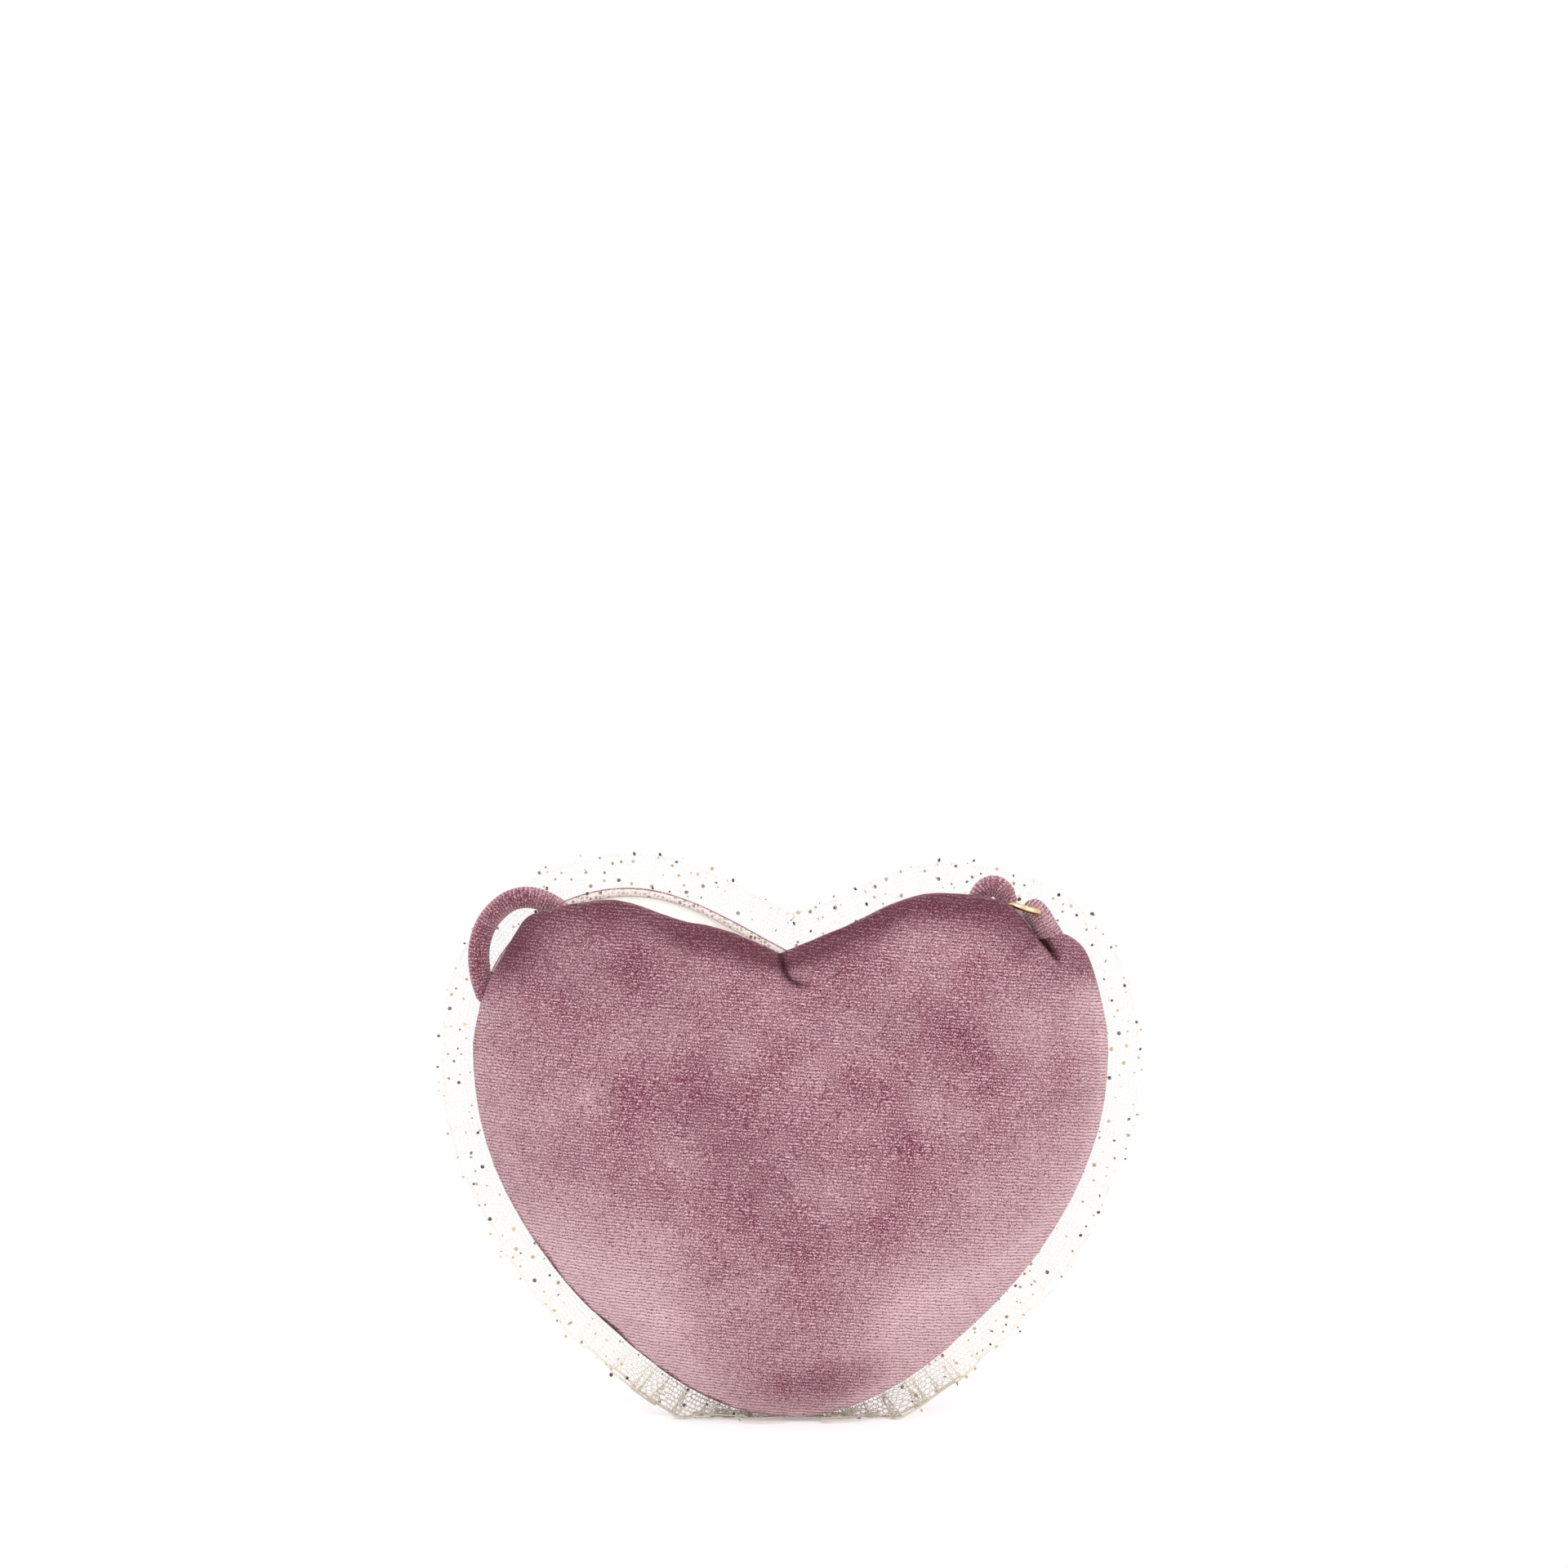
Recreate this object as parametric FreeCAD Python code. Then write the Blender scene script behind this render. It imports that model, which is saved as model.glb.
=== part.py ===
"""Heart shaped purse: padded velvet panels, a gathered net ruffle and a velvet cord strap on a brass ring."""
import FreeCAD
import Part
import math
import os
from FreeCAD import Vector

# Heart outline of the velvet, in millimetres: x across, z up
half_width = 88.8
widest_z = 103.0
shoulder_inset = 10.8
shoulder_z = 134.0
lobe_inset = 45.8
lobe_z = 147.5
notch_z = 131.0
flank_inset = 35.8
flank_z = 28.5
flank_slope = 43.0
notch_slope = 32.0
crown_z = 82.0

# Padded panels: depth of one dome and the cloth plies that make it
dome_depth = 19.0
dome_fullness = 3.2
dome_steps = (1.0, 0.975, 0.9, 0.75, 0.5, 0.2)
velvet_thickness = 1.0
wadding_thickness = 3.0
lining_thickness = 0.6
ply_gap = 0.35

# Seam between the panels, with the tape that the ruffle is gathered on
seam_y = 0.75
tape_thickness = 0.8
tape_width = 4.4

# Mouth: the upper part of the front panel bends outwards about a line across it
hinge_rise = 1.0
split_gap = 0.4
gape_angle = 11.0

# Net ruffle
net_thickness = 0.8
ruffle_width = 11.0
ruffle_fold_depth = 6.0
ruffle_folds = 15
ruffle_stations_per_fold = 4
ruffle_start_x = 14.0
ruffle_clearance = 0.3
foot_length = 70.0
foot_depth = 24.0
foot_thickness = 0.9
foot_scallops = 5

# Brass ring on its velvet tab
ring_inset = 23.8
ring_drop = 3.7
ring_outer_diameter = 11.0
ring_wire = 1.8
ring_tilt = 16.0
loop_bore = 3.0
loop_thickness = 1.4
loop_width = 3.6
strap_loop_slope = 135.0
strap_loop_length = 3.2
tab_inset = 12.3
tab_rise = 0.5
tab_tail = 4.0
ring_clearance = 0.7
relief_margin = 7.0
relief_drop = 3.5

# Velvet cord strap, stored as a coil inside the purse
strap_diameter = 6.0
coil_radius = 37.0
coil_turns = 3.5
coil_pitch = 7.0
coil_layer_step = 6.6
coil_drop = 16.0
coil_back_y = 7.8
tie_thickness = 0.8
tie_width = 6.0
tie_clearance = 0.3
anchor_outset = 1.7
anchor_rise = 15.0
anchor_height = 5.0
anchor_width = 5.0
anchor_thickness = 3.0
run_share = 0.45

# Magnetic snap under the notch
snap_drop = 19.0
snap_diameter = 12.0
snap_thickness = 2.0
snap_stud_diameter = 4.6
snap_stud_height = 1.4
snap_clearance = 0.2
snap_seat_gap = 1.1
snap_ridge_room = 0.9
stem_diameter = 2.6
washer_diameter = 9.0
washer_thickness = 0.5

# Places that follow from the sizes above
tip_z = foot_thickness + ruffle_clearance
shoulder_x = half_width - shoulder_inset
lobe_x = half_width - lobe_inset
flank_x = half_width - flank_inset
hinge_z = widest_z + hinge_rise
ring_x = half_width - ring_inset
ring_z = lobe_z - ring_drop
tab_base_x = half_width - tab_inset
tab_base_z = shoulder_z + tab_rise
coil_z = crown_z - coil_drop
anchor_x = -half_width - anchor_outset
anchor_z = widest_z + anchor_rise
snap_z = notch_z - snap_drop
front_rim_y = seam_y - tape_thickness / 2 - ply_gap
back_rim_y = seam_y + tape_thickness / 2 + ply_gap
hinge_y = front_rim_y - dome_depth
wadding_inset = velvet_thickness + ply_gap
lining_inset = wadding_inset + wadding_thickness + ply_gap
washer_depth = lining_thickness + snap_ridge_room
strap_radius = strap_diameter / 2
ring_mid_radius = (ring_outer_diameter - ring_wire) / 2
ring_y = seam_y - ring_clearance - ring_outer_diameter / 2
ring_slope = math.radians(ring_tilt)
ring_reach = Vector(math.cos(ring_slope), 0, -math.sin(ring_slope)) * ring_mid_radius
ring_centre = Vector(ring_x, ring_y, ring_z)
tab_wire = ring_centre + ring_reach
strap_wire = ring_centre - ring_reach
FRONT = -1
BACK = 1
FAR = 400.0


def slanted(degrees):
    """Unit direction in the plane of the heart."""
    angle = math.radians(degrees)
    return Vector(math.cos(angle), 0, math.sin(angle))


def heart_half(scale=1.0, y=0.0):
    """Right half of the heart, from its tip round to its notch, shrunk towards the crown."""
    corners = [(0, tip_z), (flank_x, flank_z), (half_width, widest_z), (shoulder_x, shoulder_z),
               (lobe_x, lobe_z), (0, notch_z)]
    headings = [0, flank_slope, 90, 90 + flank_slope, 180, 180 + notch_slope]
    points = [Vector(x * scale, y, crown_z + (z - crown_z) * scale) for x, z in corners]
    curve = Part.BSplineCurve()
    curve.interpolate(Points=points, Tangents=[slanted(heading) for heading in headings],
                      TangentFlags=[True] * len(points))
    return curve.toShape()


def heart_wire(scale, y):
    right = heart_half(scale, y)
    left = right.mirror(Vector(0, 0, 0), Vector(1, 0, 0))
    return Part.Wire(Part.__sortEdges__([right, left]))


def full_dome(side):
    """Solid dome of one padded panel at full size, with its rim at y = 0."""
    wires = [heart_wire(step, side * dome_depth * math.sqrt(1 - step ** dome_fullness)) for step in dome_steps]
    return Part.makeLoft(wires, True)


def dome(inset, rim_y, side):
    """The dome drawn in by an inset at its widest point and at its crown."""
    shrink = 1 - inset / half_width
    matrix = FreeCAD.Matrix()
    matrix.move(Vector(0, 0, -crown_z))
    matrix.scale(Vector(shrink, 1 - inset / dome_depth, shrink))
    matrix.move(Vector(0, rim_y, crown_z))
    return full_dome(side).transformGeometry(matrix)


def ply(outer_inset, thickness, rim_y, side):
    return dome(outer_inset, rim_y, side).cut(dome(outer_inset + thickness, rim_y, side))


def slab(low, high):
    size = high - low
    return Part.makeBox(size.x, size.y, size.z, low)


def below_mouth(shape):
    return shape.common(slab(Vector(-FAR, -FAR, -FAR), Vector(FAR, FAR, hinge_z - split_gap / 2)))


def ring_relief():
    """Room for the ring and its tab, where the front panel is tucked in at its right shoulder."""
    low = Vector(strap_wire.x - ring_wire - relief_margin, ring_y - ring_outer_diameter / 2 - relief_margin,
                 tab_base_z - relief_drop)
    return slab(low, Vector(FAR, FAR, FAR))


def mouth_flap(shape):
    """Upper part of a front ply, bowed outwards as the purse stands, with room for the ring."""
    upper = shape.common(slab(Vector(-FAR, -FAR, hinge_z + split_gap / 2), Vector(FAR, FAR, FAR)))
    upper.rotate(Vector(0, hinge_y, hinge_z), Vector(1, 0, 0), gape_angle)
    return upper.cut(ring_relief())


def gather_tape():
    """Flat tape in the seam, right round the heart."""
    shrink = 1 - tape_width / half_width
    front_face_y = seam_y - tape_thickness / 2
    ring_face = Part.Face(heart_wire(1.0, front_face_y)).cut(Part.Face(heart_wire(shrink, front_face_y)))
    return ring_face.extrude(Vector(0, tape_thickness, 0))


def ruffle_section(edge, length, fold):
    """One cross-section of the gathered net, from the seam to its free edge."""
    at = edge.getParameterByLength(length)
    point = edge.valueAt(at)
    along = edge.tangentAt(at)
    outward = Vector(along.z, 0, -along.x)
    floor_z = foot_thickness + ruffle_clearance
    width = ruffle_width
    if outward.z < 0:
        width = min(width, (point.z - floor_z) / -outward.z)
    if outward.x < 0:
        width = min(width, (point.x - ruffle_clearance) / -outward.x)
    inner = point + outward * ruffle_clearance
    outer = point + outward * max(width, 3 * ruffle_clearance)
    lean = ruffle_fold_depth * (1 - math.cos(2 * math.pi * fold)) / 2
    near_y = seam_y + net_thickness / 4
    corners = [Vector(inner.x, near_y, inner.z), Vector(outer.x, near_y + lean, outer.z),
               Vector(outer.x, near_y + lean + net_thickness, outer.z),
               Vector(inner.x, near_y + net_thickness, inner.z)]
    return Part.makePolygon(corners + corners[:1])


def ruffle_half():
    """Gathered net along the right half of the seam, from the foot to the notch."""
    edge = heart_half()
    start = 0.0
    while edge.valueAt(edge.getParameterByLength(start)).x < ruffle_start_x:
        start += net_thickness
    end = edge.Length - net_thickness
    count = ruffle_folds * ruffle_stations_per_fold
    sections = []
    for station in range(count + 1):
        length = start + (end - start) * station / count
        sections.append(ruffle_section(edge, length, station / ruffle_stations_per_fold))
    return Part.makeLoft(sections, True, True)


def ruffle_foot():
    """Net crushed flat under the tip, with a scalloped edge: the face that the purse rests on."""
    scallop = foot_length / foot_scallops
    bulge = Vector(0, scallop / 4, 0)
    side_y = foot_depth / 2 - bulge.y
    edges = []
    for number in range(foot_scallops):
        start = Vector(-foot_length / 2 + number * scallop, -side_y, 0)
        end = start + Vector(scallop, 0, 0)
        edges.append(Part.Arc(start, (start + end) / 2 - bulge, end).toShape())
        edges.append(Part.Arc(-start, -(start + end) / 2 + bulge, -end).toShape())
    for side in (-1, 1):
        end = Vector(side * foot_length / 2, side_y, 0)
        edges.append(Part.makeLine(end, Vector(end.x, -side_y, 0)))
    outline = Part.Wire(Part.__sortEdges__(edges))
    return Part.Face(outline).extrude(Vector(0, 0, foot_thickness))


def folded_loop(wire_point, towards, length):
    """Band folded round the ring's wire, with its two legs laid together towards a point."""
    bore_radius = loop_bore / 2
    outer_radius = bore_radius + loop_thickness
    across = Vector(0, 1, 0)
    start = wire_point - across * (loop_width / 2)
    side = towards.cross(across)
    corners = [start - side * outer_radius, start - side * outer_radius + towards * length,
               start + side * outer_radius + towards * length, start + side * outer_radius]
    legs = Part.Face(Part.makePolygon(corners + corners[:1])).extrude(across * loop_width)
    turn = Part.makeCylinder(outer_radius, loop_width, start, across)
    bore = Part.makeCylinder(bore_radius, loop_width, start, across)
    return legs.fuse(turn).cut(bore).removeSplitter()


def ring_tab():
    """Folded tab that holds the ring, with its tail turned back into the seam."""
    base = Vector(tab_base_x, ring_y, tab_base_z)
    towards = (base - tab_wire).normalize()
    band = folded_loop(tab_wire, towards, (base - tab_wire).Length)
    side = towards.cross(Vector(0, 1, 0))
    half = loop_bore / 2 + loop_thickness
    seam_face_y = seam_y - tape_thickness / 2 - ply_gap
    low = base - towards * tab_tail
    low.y = ring_y
    corners = [low - side * half, base - side * half, base + side * half, low + side * half]
    tail = Part.Face(Part.makePolygon(corners + corners[:1])).extrude(Vector(0, seam_face_y - ring_y, 0))
    return band.fuse(tail).removeSplitter()


def brass_ring():
    ring = Part.makeTorus(ring_mid_radius, ring_wire / 2, ring_centre, Vector(0, 0, 1))
    ring.rotate(ring_centre, Vector(0, 1, 0), ring_tilt)
    return ring


def cord_tube(points):
    """Round cord along straight runs joined by arcs as large as the runs allow."""
    edges = []
    radii = []
    start = points[0]
    for before, corner, after in zip(points, points[1:], points[2:]):
        run_in = corner - before
        run_out = after - corner
        half_turn = run_in.getAngle(run_out) / 2
        reach = run_share * min(run_in.Length, run_out.Length)
        radius = reach / math.tan(half_turn)
        run_in.normalize()
        run_out.normalize()
        inwards = (run_out - run_in).normalize()
        middle = corner + inwards * (radius / math.cos(half_turn) - radius)
        arc_start = corner - run_in * reach
        arc_end = corner + run_out * reach
        edges.append(Part.makeLine(start, arc_start))
        edges.append(Part.Arc(arc_start, middle, arc_end).toShape())
        start = arc_end
        radii.append(radius)
    edges.append(Part.makeLine(start, points[-1]))
    path = Part.Wire(edges)
    tube = swept_cord(path, points[0], points[1] - points[0])
    share = tube.Volume / (math.pi * strap_radius ** 2 * path.Length)
    print("cord length %.1f, volume share %.4f, radii" % (path.Length, share), [round(r, 1) for r in radii])
    return tube


def swept_cord(path, start, heading):
    profile = Part.Wire([Part.makeCircle(strap_radius, start, heading)])
    return path.makePipeShell([profile], True, False)


def coil_point(turn):
    """Middle of the strap after some turns: in on the back layer, out again on the front one."""
    middle_turn = coil_turns / 2
    angle = math.pi * (1 + 2 * turn)
    radius = coil_radius - coil_pitch * (middle_turn - abs(turn - middle_turn))
    climb = min(max((turn - middle_turn) * 2 + 0.5, 0.0), 1.0)
    y = coil_back_y - coil_layer_step * climb * climb * (3 - 2 * climb)
    return Vector(radius * math.cos(angle), y, coil_z + radius * math.sin(angle))


def coil_heading(turn):
    small = 0.001
    return (coil_point(turn + small) - coil_point(turn - small)).normalize()


def arc_between(start, corner, end):
    """Arc that leaves the start and reaches the end along the two sides of a corner."""
    middle = (start + end) / 2
    angle = (corner - start).getAngle(end - start)
    return Part.Arc(start, middle + (corner - middle) * (math.tan(angle / 2) / math.tan(angle)), end).toShape()


def biarc(start, start_heading, end, end_heading):
    """Two arcs that join two points smoothly, each point with its own heading."""
    span = end - start
    both = start_heading + end_heading
    bend = 2 * (1 - start_heading.dot(end_heading))
    reach = (math.sqrt(span.dot(both) ** 2 + bend * span.dot(span)) - span.dot(both)) / bend
    first_corner = start + start_heading * reach
    second_corner = end - end_heading * reach
    joint = (first_corner + second_corner) / 2
    return [arc_between(start, first_corner, joint), arc_between(joint, second_corner, end)]


def coil_entry():
    return coil_point(0) - coil_heading(0) * strap_diameter


def coil_exit():
    return coil_point(coil_turns) + coil_heading(coil_turns) * strap_diameter


def strap_coil():
    """Strap wound in two layers, with a straight end at each side."""
    quarters = round(coil_turns * 4)
    edges = [Part.makeLine(coil_entry(), coil_point(0))]
    for quarter in range(quarters):
        start = quarter / 4
        end = (quarter + 1) / 4
        edges += biarc(coil_point(start), coil_heading(start), coil_point(end), coil_heading(end))
    edges.append(Part.makeLine(coil_point(coil_turns), coil_exit()))
    path = Part.Wire(edges)
    samples = [coil_point(number / 60) for number in range(round(coil_turns * 60) + 1)]
    gap = min((samples[i] - samples[j]).Length for i in range(len(samples)) for j in range(i + 30, len(samples)))
    print("coil length %.1f, least gap between turns %.2f" % (path.Length, gap - strap_diameter))
    return swept_cord(path, coil_entry(), coil_heading(0))


def strap_tie():
    """Cloth band round the strands at the top of the coil."""
    first_top = 0.75
    strands = [coil_point(first_top + turn) for turn in range(int(coil_turns))]
    room = Vector(tie_width / 2, strap_radius + tie_clearance, strap_radius + tie_clearance)
    wall = Vector(0, tie_thickness, tie_thickness)
    low = Vector(0, min(strand.y for strand in strands), min(strand.z for strand in strands)) - room
    high = Vector(0, max(strand.y for strand in strands), max(strand.z for strand in strands)) + room
    hole_end = Vector(tie_width, 0, 0)
    band = slab(low - wall, high + wall)
    along_strap = [edge for edge in band.Edges if abs(edge.tangentAt(edge.FirstParameter).x) > 0.9]
    band = band.makeFillet(strap_radius / 2, along_strap)
    hole = slab(low - hole_end, high + hole_end)
    through = [edge for edge in hole.Edges if abs(edge.tangentAt(edge.FirstParameter).x) > 0.9]
    return band.cut(hole.makeFillet(strap_radius / 2, through))


def strap_anchor():
    """Flattened end of the strap, sewn down at the left end of the mouth."""
    back_y = seam_y - tape_thickness / 2 - ply_gap
    low = Vector(anchor_x - anchor_width / 2, back_y - anchor_thickness, anchor_z)
    block = slab(low, low + Vector(anchor_width, anchor_thickness, anchor_height))
    upright = [edge for edge in block.Edges if abs(edge.tangentAt(edge.FirstParameter).z) > 0.9]
    return block.makeFillet(anchor_thickness / 3, upright)


def left_route():
    """Strap from its anchor, over in a loop and down through the mouth to the coil."""
    start = Vector(anchor_x, seam_y - tape_thickness / 2 - ply_gap - strap_radius, anchor_z + anchor_height)
    entry = coil_entry()
    return [start, start + Vector(0, 0, 9.0), Vector(-86.0, -3.1, 140.5), Vector(-78.5, -3.2, 146.2),
            Vector(-70.5, -3.3, 147.0), Vector(-62.5, -3.3, 142.0), Vector(-55.5, -2.1, 130.5),
            Vector(-48.5, 0.9, 114.0), Vector(-41.5, 5.0, 98.0),
            entry - coil_heading(0) * (2 * strap_diameter), entry]


def right_route():
    """Strap from the coil up through the mouth and over to the ring."""
    exit_point = coil_exit()
    heading = coil_heading(coil_turns)
    end = strap_wire + strap_loop_heading() * strap_loop_length
    return [exit_point, exit_point + heading * (2 * strap_diameter), Vector(39.5, -0.4, 103.0),
            Vector(41.5, -2.2, 121.0), Vector(43.3, -3.2, 134.5), Vector(45.2, -3.8, 147.5),
            Vector(49.7, -4.4, 151.2), end + strap_loop_heading() * 5.0, end]


def strap_loop_heading():
    return slanted(strap_loop_slope)


def snap_seat(lining, side):
    """Point and inward direction on the lining, where half of the snap sits."""
    hits = []
    for z in (snap_z - snap_diameter / 4, snap_z, snap_z + snap_diameter / 4):
        ray = Part.makeLine(Vector(0, seam_y, z), Vector(0, seam_y + side * FAR, z))
        points = [vertex.Point for vertex in ray.common(lining).Vertexes]
        hits.append(min(points, key=lambda point: abs(point.y - seam_y)))
    normal = Vector(1, 0, 0).cross(hits[2] - hits[0]).normalize()
    if normal.y * side > 0:
        normal = -normal
    return hits[1], normal


def disc(diameter, thickness, base, axis):
    return Part.makeCylinder(diameter / 2, thickness, base, axis)


def snap_half(seat, normal):
    """Disc on the lining, with a stem that runs through it to the washer behind."""
    base = seat + normal * snap_seat_gap
    stem_length = snap_seat_gap + washer_depth + washer_thickness
    return disc(snap_diameter, snap_thickness, base, normal).fuse(disc(stem_diameter, stem_length, base, -normal))


def snap_washer(seat, normal):
    plate = disc(washer_diameter, washer_thickness, seat - normal * washer_depth, -normal)
    return stem_hole(plate, seat, normal)


def stem_hole(shape, seat, normal):
    """The hole is cut from the cavity side, outwards through one panel."""
    return shape.cut(disc(stem_diameter + snap_clearance, dome_depth, seat + normal * snap_seat_gap, -normal))


def washer_pocket(shape, seat, normal):
    depth = washer_depth + washer_thickness + snap_clearance
    return shape.cut(disc(washer_diameter + 2 * snap_clearance, depth, seat, -normal))


def save(name, shape):
    solid = shape.Solids[0] if len(shape.Solids) == 1 else shape
    if not solid.isValid():
        print("not valid:", name)
    solid.exportStep("parts/" + name + ".step")


def main():
    os.makedirs("parts", exist_ok=True)
    back_lining = ply(lining_inset, lining_thickness, back_rim_y, BACK)
    back_wadding = ply(wadding_inset, wadding_thickness, back_rim_y, BACK)
    front_lining = ply(lining_inset, lining_thickness, front_rim_y, FRONT)
    front_wadding = ply(wadding_inset, wadding_thickness, front_rim_y, FRONT)
    front_velvet = ply(0, velvet_thickness, front_rim_y, FRONT)

    socket_seat, socket_normal = snap_seat(back_lining, BACK)
    recess = disc(snap_stud_diameter + snap_clearance, snap_stud_height + snap_clearance,
                  socket_seat + socket_normal * (snap_seat_gap + snap_thickness), -socket_normal)
    save("back_velvet", ply(0, velvet_thickness, back_rim_y, BACK))
    save("back_wadding", washer_pocket(back_wadding, socket_seat, socket_normal))
    save("back_lining", stem_hole(back_lining, socket_seat, socket_normal))
    save("snap_socket", snap_half(socket_seat, socket_normal).cut(recess).removeSplitter())
    save("snap_socket_washer", snap_washer(socket_seat, socket_normal))

    flap_lining = mouth_flap(front_lining)
    stud_seat, stud_normal = snap_seat(flap_lining, FRONT)
    boss = disc(snap_stud_diameter, snap_stud_height, stud_seat + stud_normal * (snap_seat_gap + snap_thickness),
                stud_normal)
    save("flap_velvet", mouth_flap(front_velvet))
    save("flap_wadding", washer_pocket(mouth_flap(front_wadding), stud_seat, stud_normal))
    save("flap_lining", stem_hole(flap_lining, stud_seat, stud_normal))
    save("snap_stud", snap_half(stud_seat, stud_normal).fuse(boss).removeSplitter())
    save("snap_stud_washer", snap_washer(stud_seat, stud_normal))

    save("front_velvet", below_mouth(front_velvet))
    save("front_wadding", below_mouth(front_wadding))
    save("front_lining", below_mouth(front_lining))

    ruffle = ruffle_half()
    save("ruffle_right", ruffle)
    save("ruffle_left", ruffle.mirror(Vector(0, 0, 0), Vector(1, 0, 0)))
    save("ruffle_foot", ruffle_foot())
    save("gather_tape", gather_tape())

    save("ring_tab", ring_tab())
    save("brass_ring", brass_ring())
    save("strap_end_loop", folded_loop(strap_wire, strap_loop_heading(), strap_loop_length))

    save("strap_anchor", strap_anchor())
    save("strap_left_lead", cord_tube(left_route()))
    save("strap_coil", strap_coil())
    save("strap_right_lead", cord_tube(right_route()))
    save("strap_tie", strap_tie())


main()
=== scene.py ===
"""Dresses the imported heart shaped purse: padded velvet, lining, net ruffle, cord strap and metal parts."""
import math

import bmesh
import bpy
import numpy as np
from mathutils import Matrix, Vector


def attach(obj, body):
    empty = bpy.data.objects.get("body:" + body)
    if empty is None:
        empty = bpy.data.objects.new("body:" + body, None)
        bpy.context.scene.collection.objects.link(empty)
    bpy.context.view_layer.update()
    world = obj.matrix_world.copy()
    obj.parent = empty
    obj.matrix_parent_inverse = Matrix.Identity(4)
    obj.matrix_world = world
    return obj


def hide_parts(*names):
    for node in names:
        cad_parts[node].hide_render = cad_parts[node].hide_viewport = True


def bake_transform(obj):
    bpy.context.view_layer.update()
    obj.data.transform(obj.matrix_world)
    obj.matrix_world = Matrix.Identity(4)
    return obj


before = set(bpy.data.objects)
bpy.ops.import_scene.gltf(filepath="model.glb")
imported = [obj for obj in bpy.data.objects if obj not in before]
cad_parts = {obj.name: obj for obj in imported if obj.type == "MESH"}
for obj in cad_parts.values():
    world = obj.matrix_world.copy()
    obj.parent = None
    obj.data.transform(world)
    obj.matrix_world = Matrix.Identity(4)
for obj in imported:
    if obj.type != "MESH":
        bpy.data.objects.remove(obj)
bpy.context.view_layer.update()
scene = bpy.context.scene
scene.view_settings.view_transform = "Standard"

MM = 0.001

# Sizes of the purse, in millimetres, as in the part's source
crown_z = 82.0
dome_depth = 19.0
dome_fullness = 3.2
front_rim_y = 0.0
back_rim_y = 1.5
hinge_y = -19.0
hinge_z = 104.0
gape_angle = 11.0
bow_low_z = 92.0
bow_high_z = 118.0
pad_thickness = 4.4
lining_thickness = 0.6
edge_roll = 1.4
outline_length = 530.0
strap_diameter = 6.0
coil_radius = 37.0
coil_turns = 3.5
coil_pitch = 7.0
coil_layer_step = 6.6
coil_z = 66.0
coil_back_y = 7.8
ring_y = -5.45

# Half outlines of the heart from tip to notch: x, z and heading, with a second heading at a sharp turn
tip = (0.0, 1.2, 0.0)
flank = (53.0, 28.5, 43.0)
widest = (88.8, 103.0, 90.0)
back_left_half = [tip, flank, widest, (79.0, 134.0, 130.0), (46.0, 149.2, 180.0),
                  (24.5, 143.9, 204.0), (1.0, 131.6, 208.0)]
back_right_half = [tip, flank, widest, (78.0, 134.0, 133.0), (42.0, 146.4, 180.0),
                   (18.0, 138.2, 205.0), (-1.0, 131.6, 200.0)]
left_half = [tip, flank, widest, (85.6, 120.4, 111.0), (75.2, 139.6, 121.0), (71.0, 142.8, 163.0),
             (51.0, 146.4, 178.0), (32.3, 141.3, 198.0), (22.0, 139.0, 194.0),
             (12.0, 135.6, 202.0), (3.0, 131.4, 208.0)]
right_half = [tip, flank, widest, (84.9, 126.0, 108.0), (77.4, 136.8, 158.0), (69.0, 137.2, 186.0, 124.0),
              (63.6, 143.1, 140.0), (41.0, 148.3, 180.0), (18.0, 140.4, 206.0), (-3.0, 131.4, 204.0)]

# Creases of the front panel as x, z points, and how the tuck draws its cloth in
shoulder_tuck = [(63.4, 143.6), (68.6, 137.0), (75.9, 126.8)]
notch_crease = [(-3.0, 132.0), (-2.2, 128.3), (-1.1, 125.1), (0.6, 123.6), (2.9, 122.7), (8.0, 122.4)]
tuck_depth = 7.0
tuck_reach = 12.0
tuck_draw = 2.6
tuck_draw_reach = 3.5

# Brushed patches of dark pile: middle x and z, half length, half width, turn in degrees and weight
brushed_patches = [(-17.0, 80.0, 30.0, 13.0, -50.0, 0.34), (15.0, 11.5, 24.0, 6.5, 12.0, 1.0),
                   (-50.0, 126.0, 34.0, 12.0, 4.0, 0.45), (40.0, 112.0, 40.0, 12.0, -24.0, 0.22)]

# Heights between which the net goes from crushed on the floor to standing free
crushed_z = 5.0
free_z = 20.0

# How many waves make one soft unevenness
wave_count = 6


# Shapes
def smooth_share(value):
    """Share from 0 to 1 that starts and ends softly."""
    share = np.clip(value, 0.0, 1.0)
    return share * share * (3.0 - 2.0 * share)


def slanted(degrees):
    """Direction at an angle to the level."""
    return np.array((math.cos(math.radians(degrees)), math.sin(math.radians(degrees))))


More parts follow.
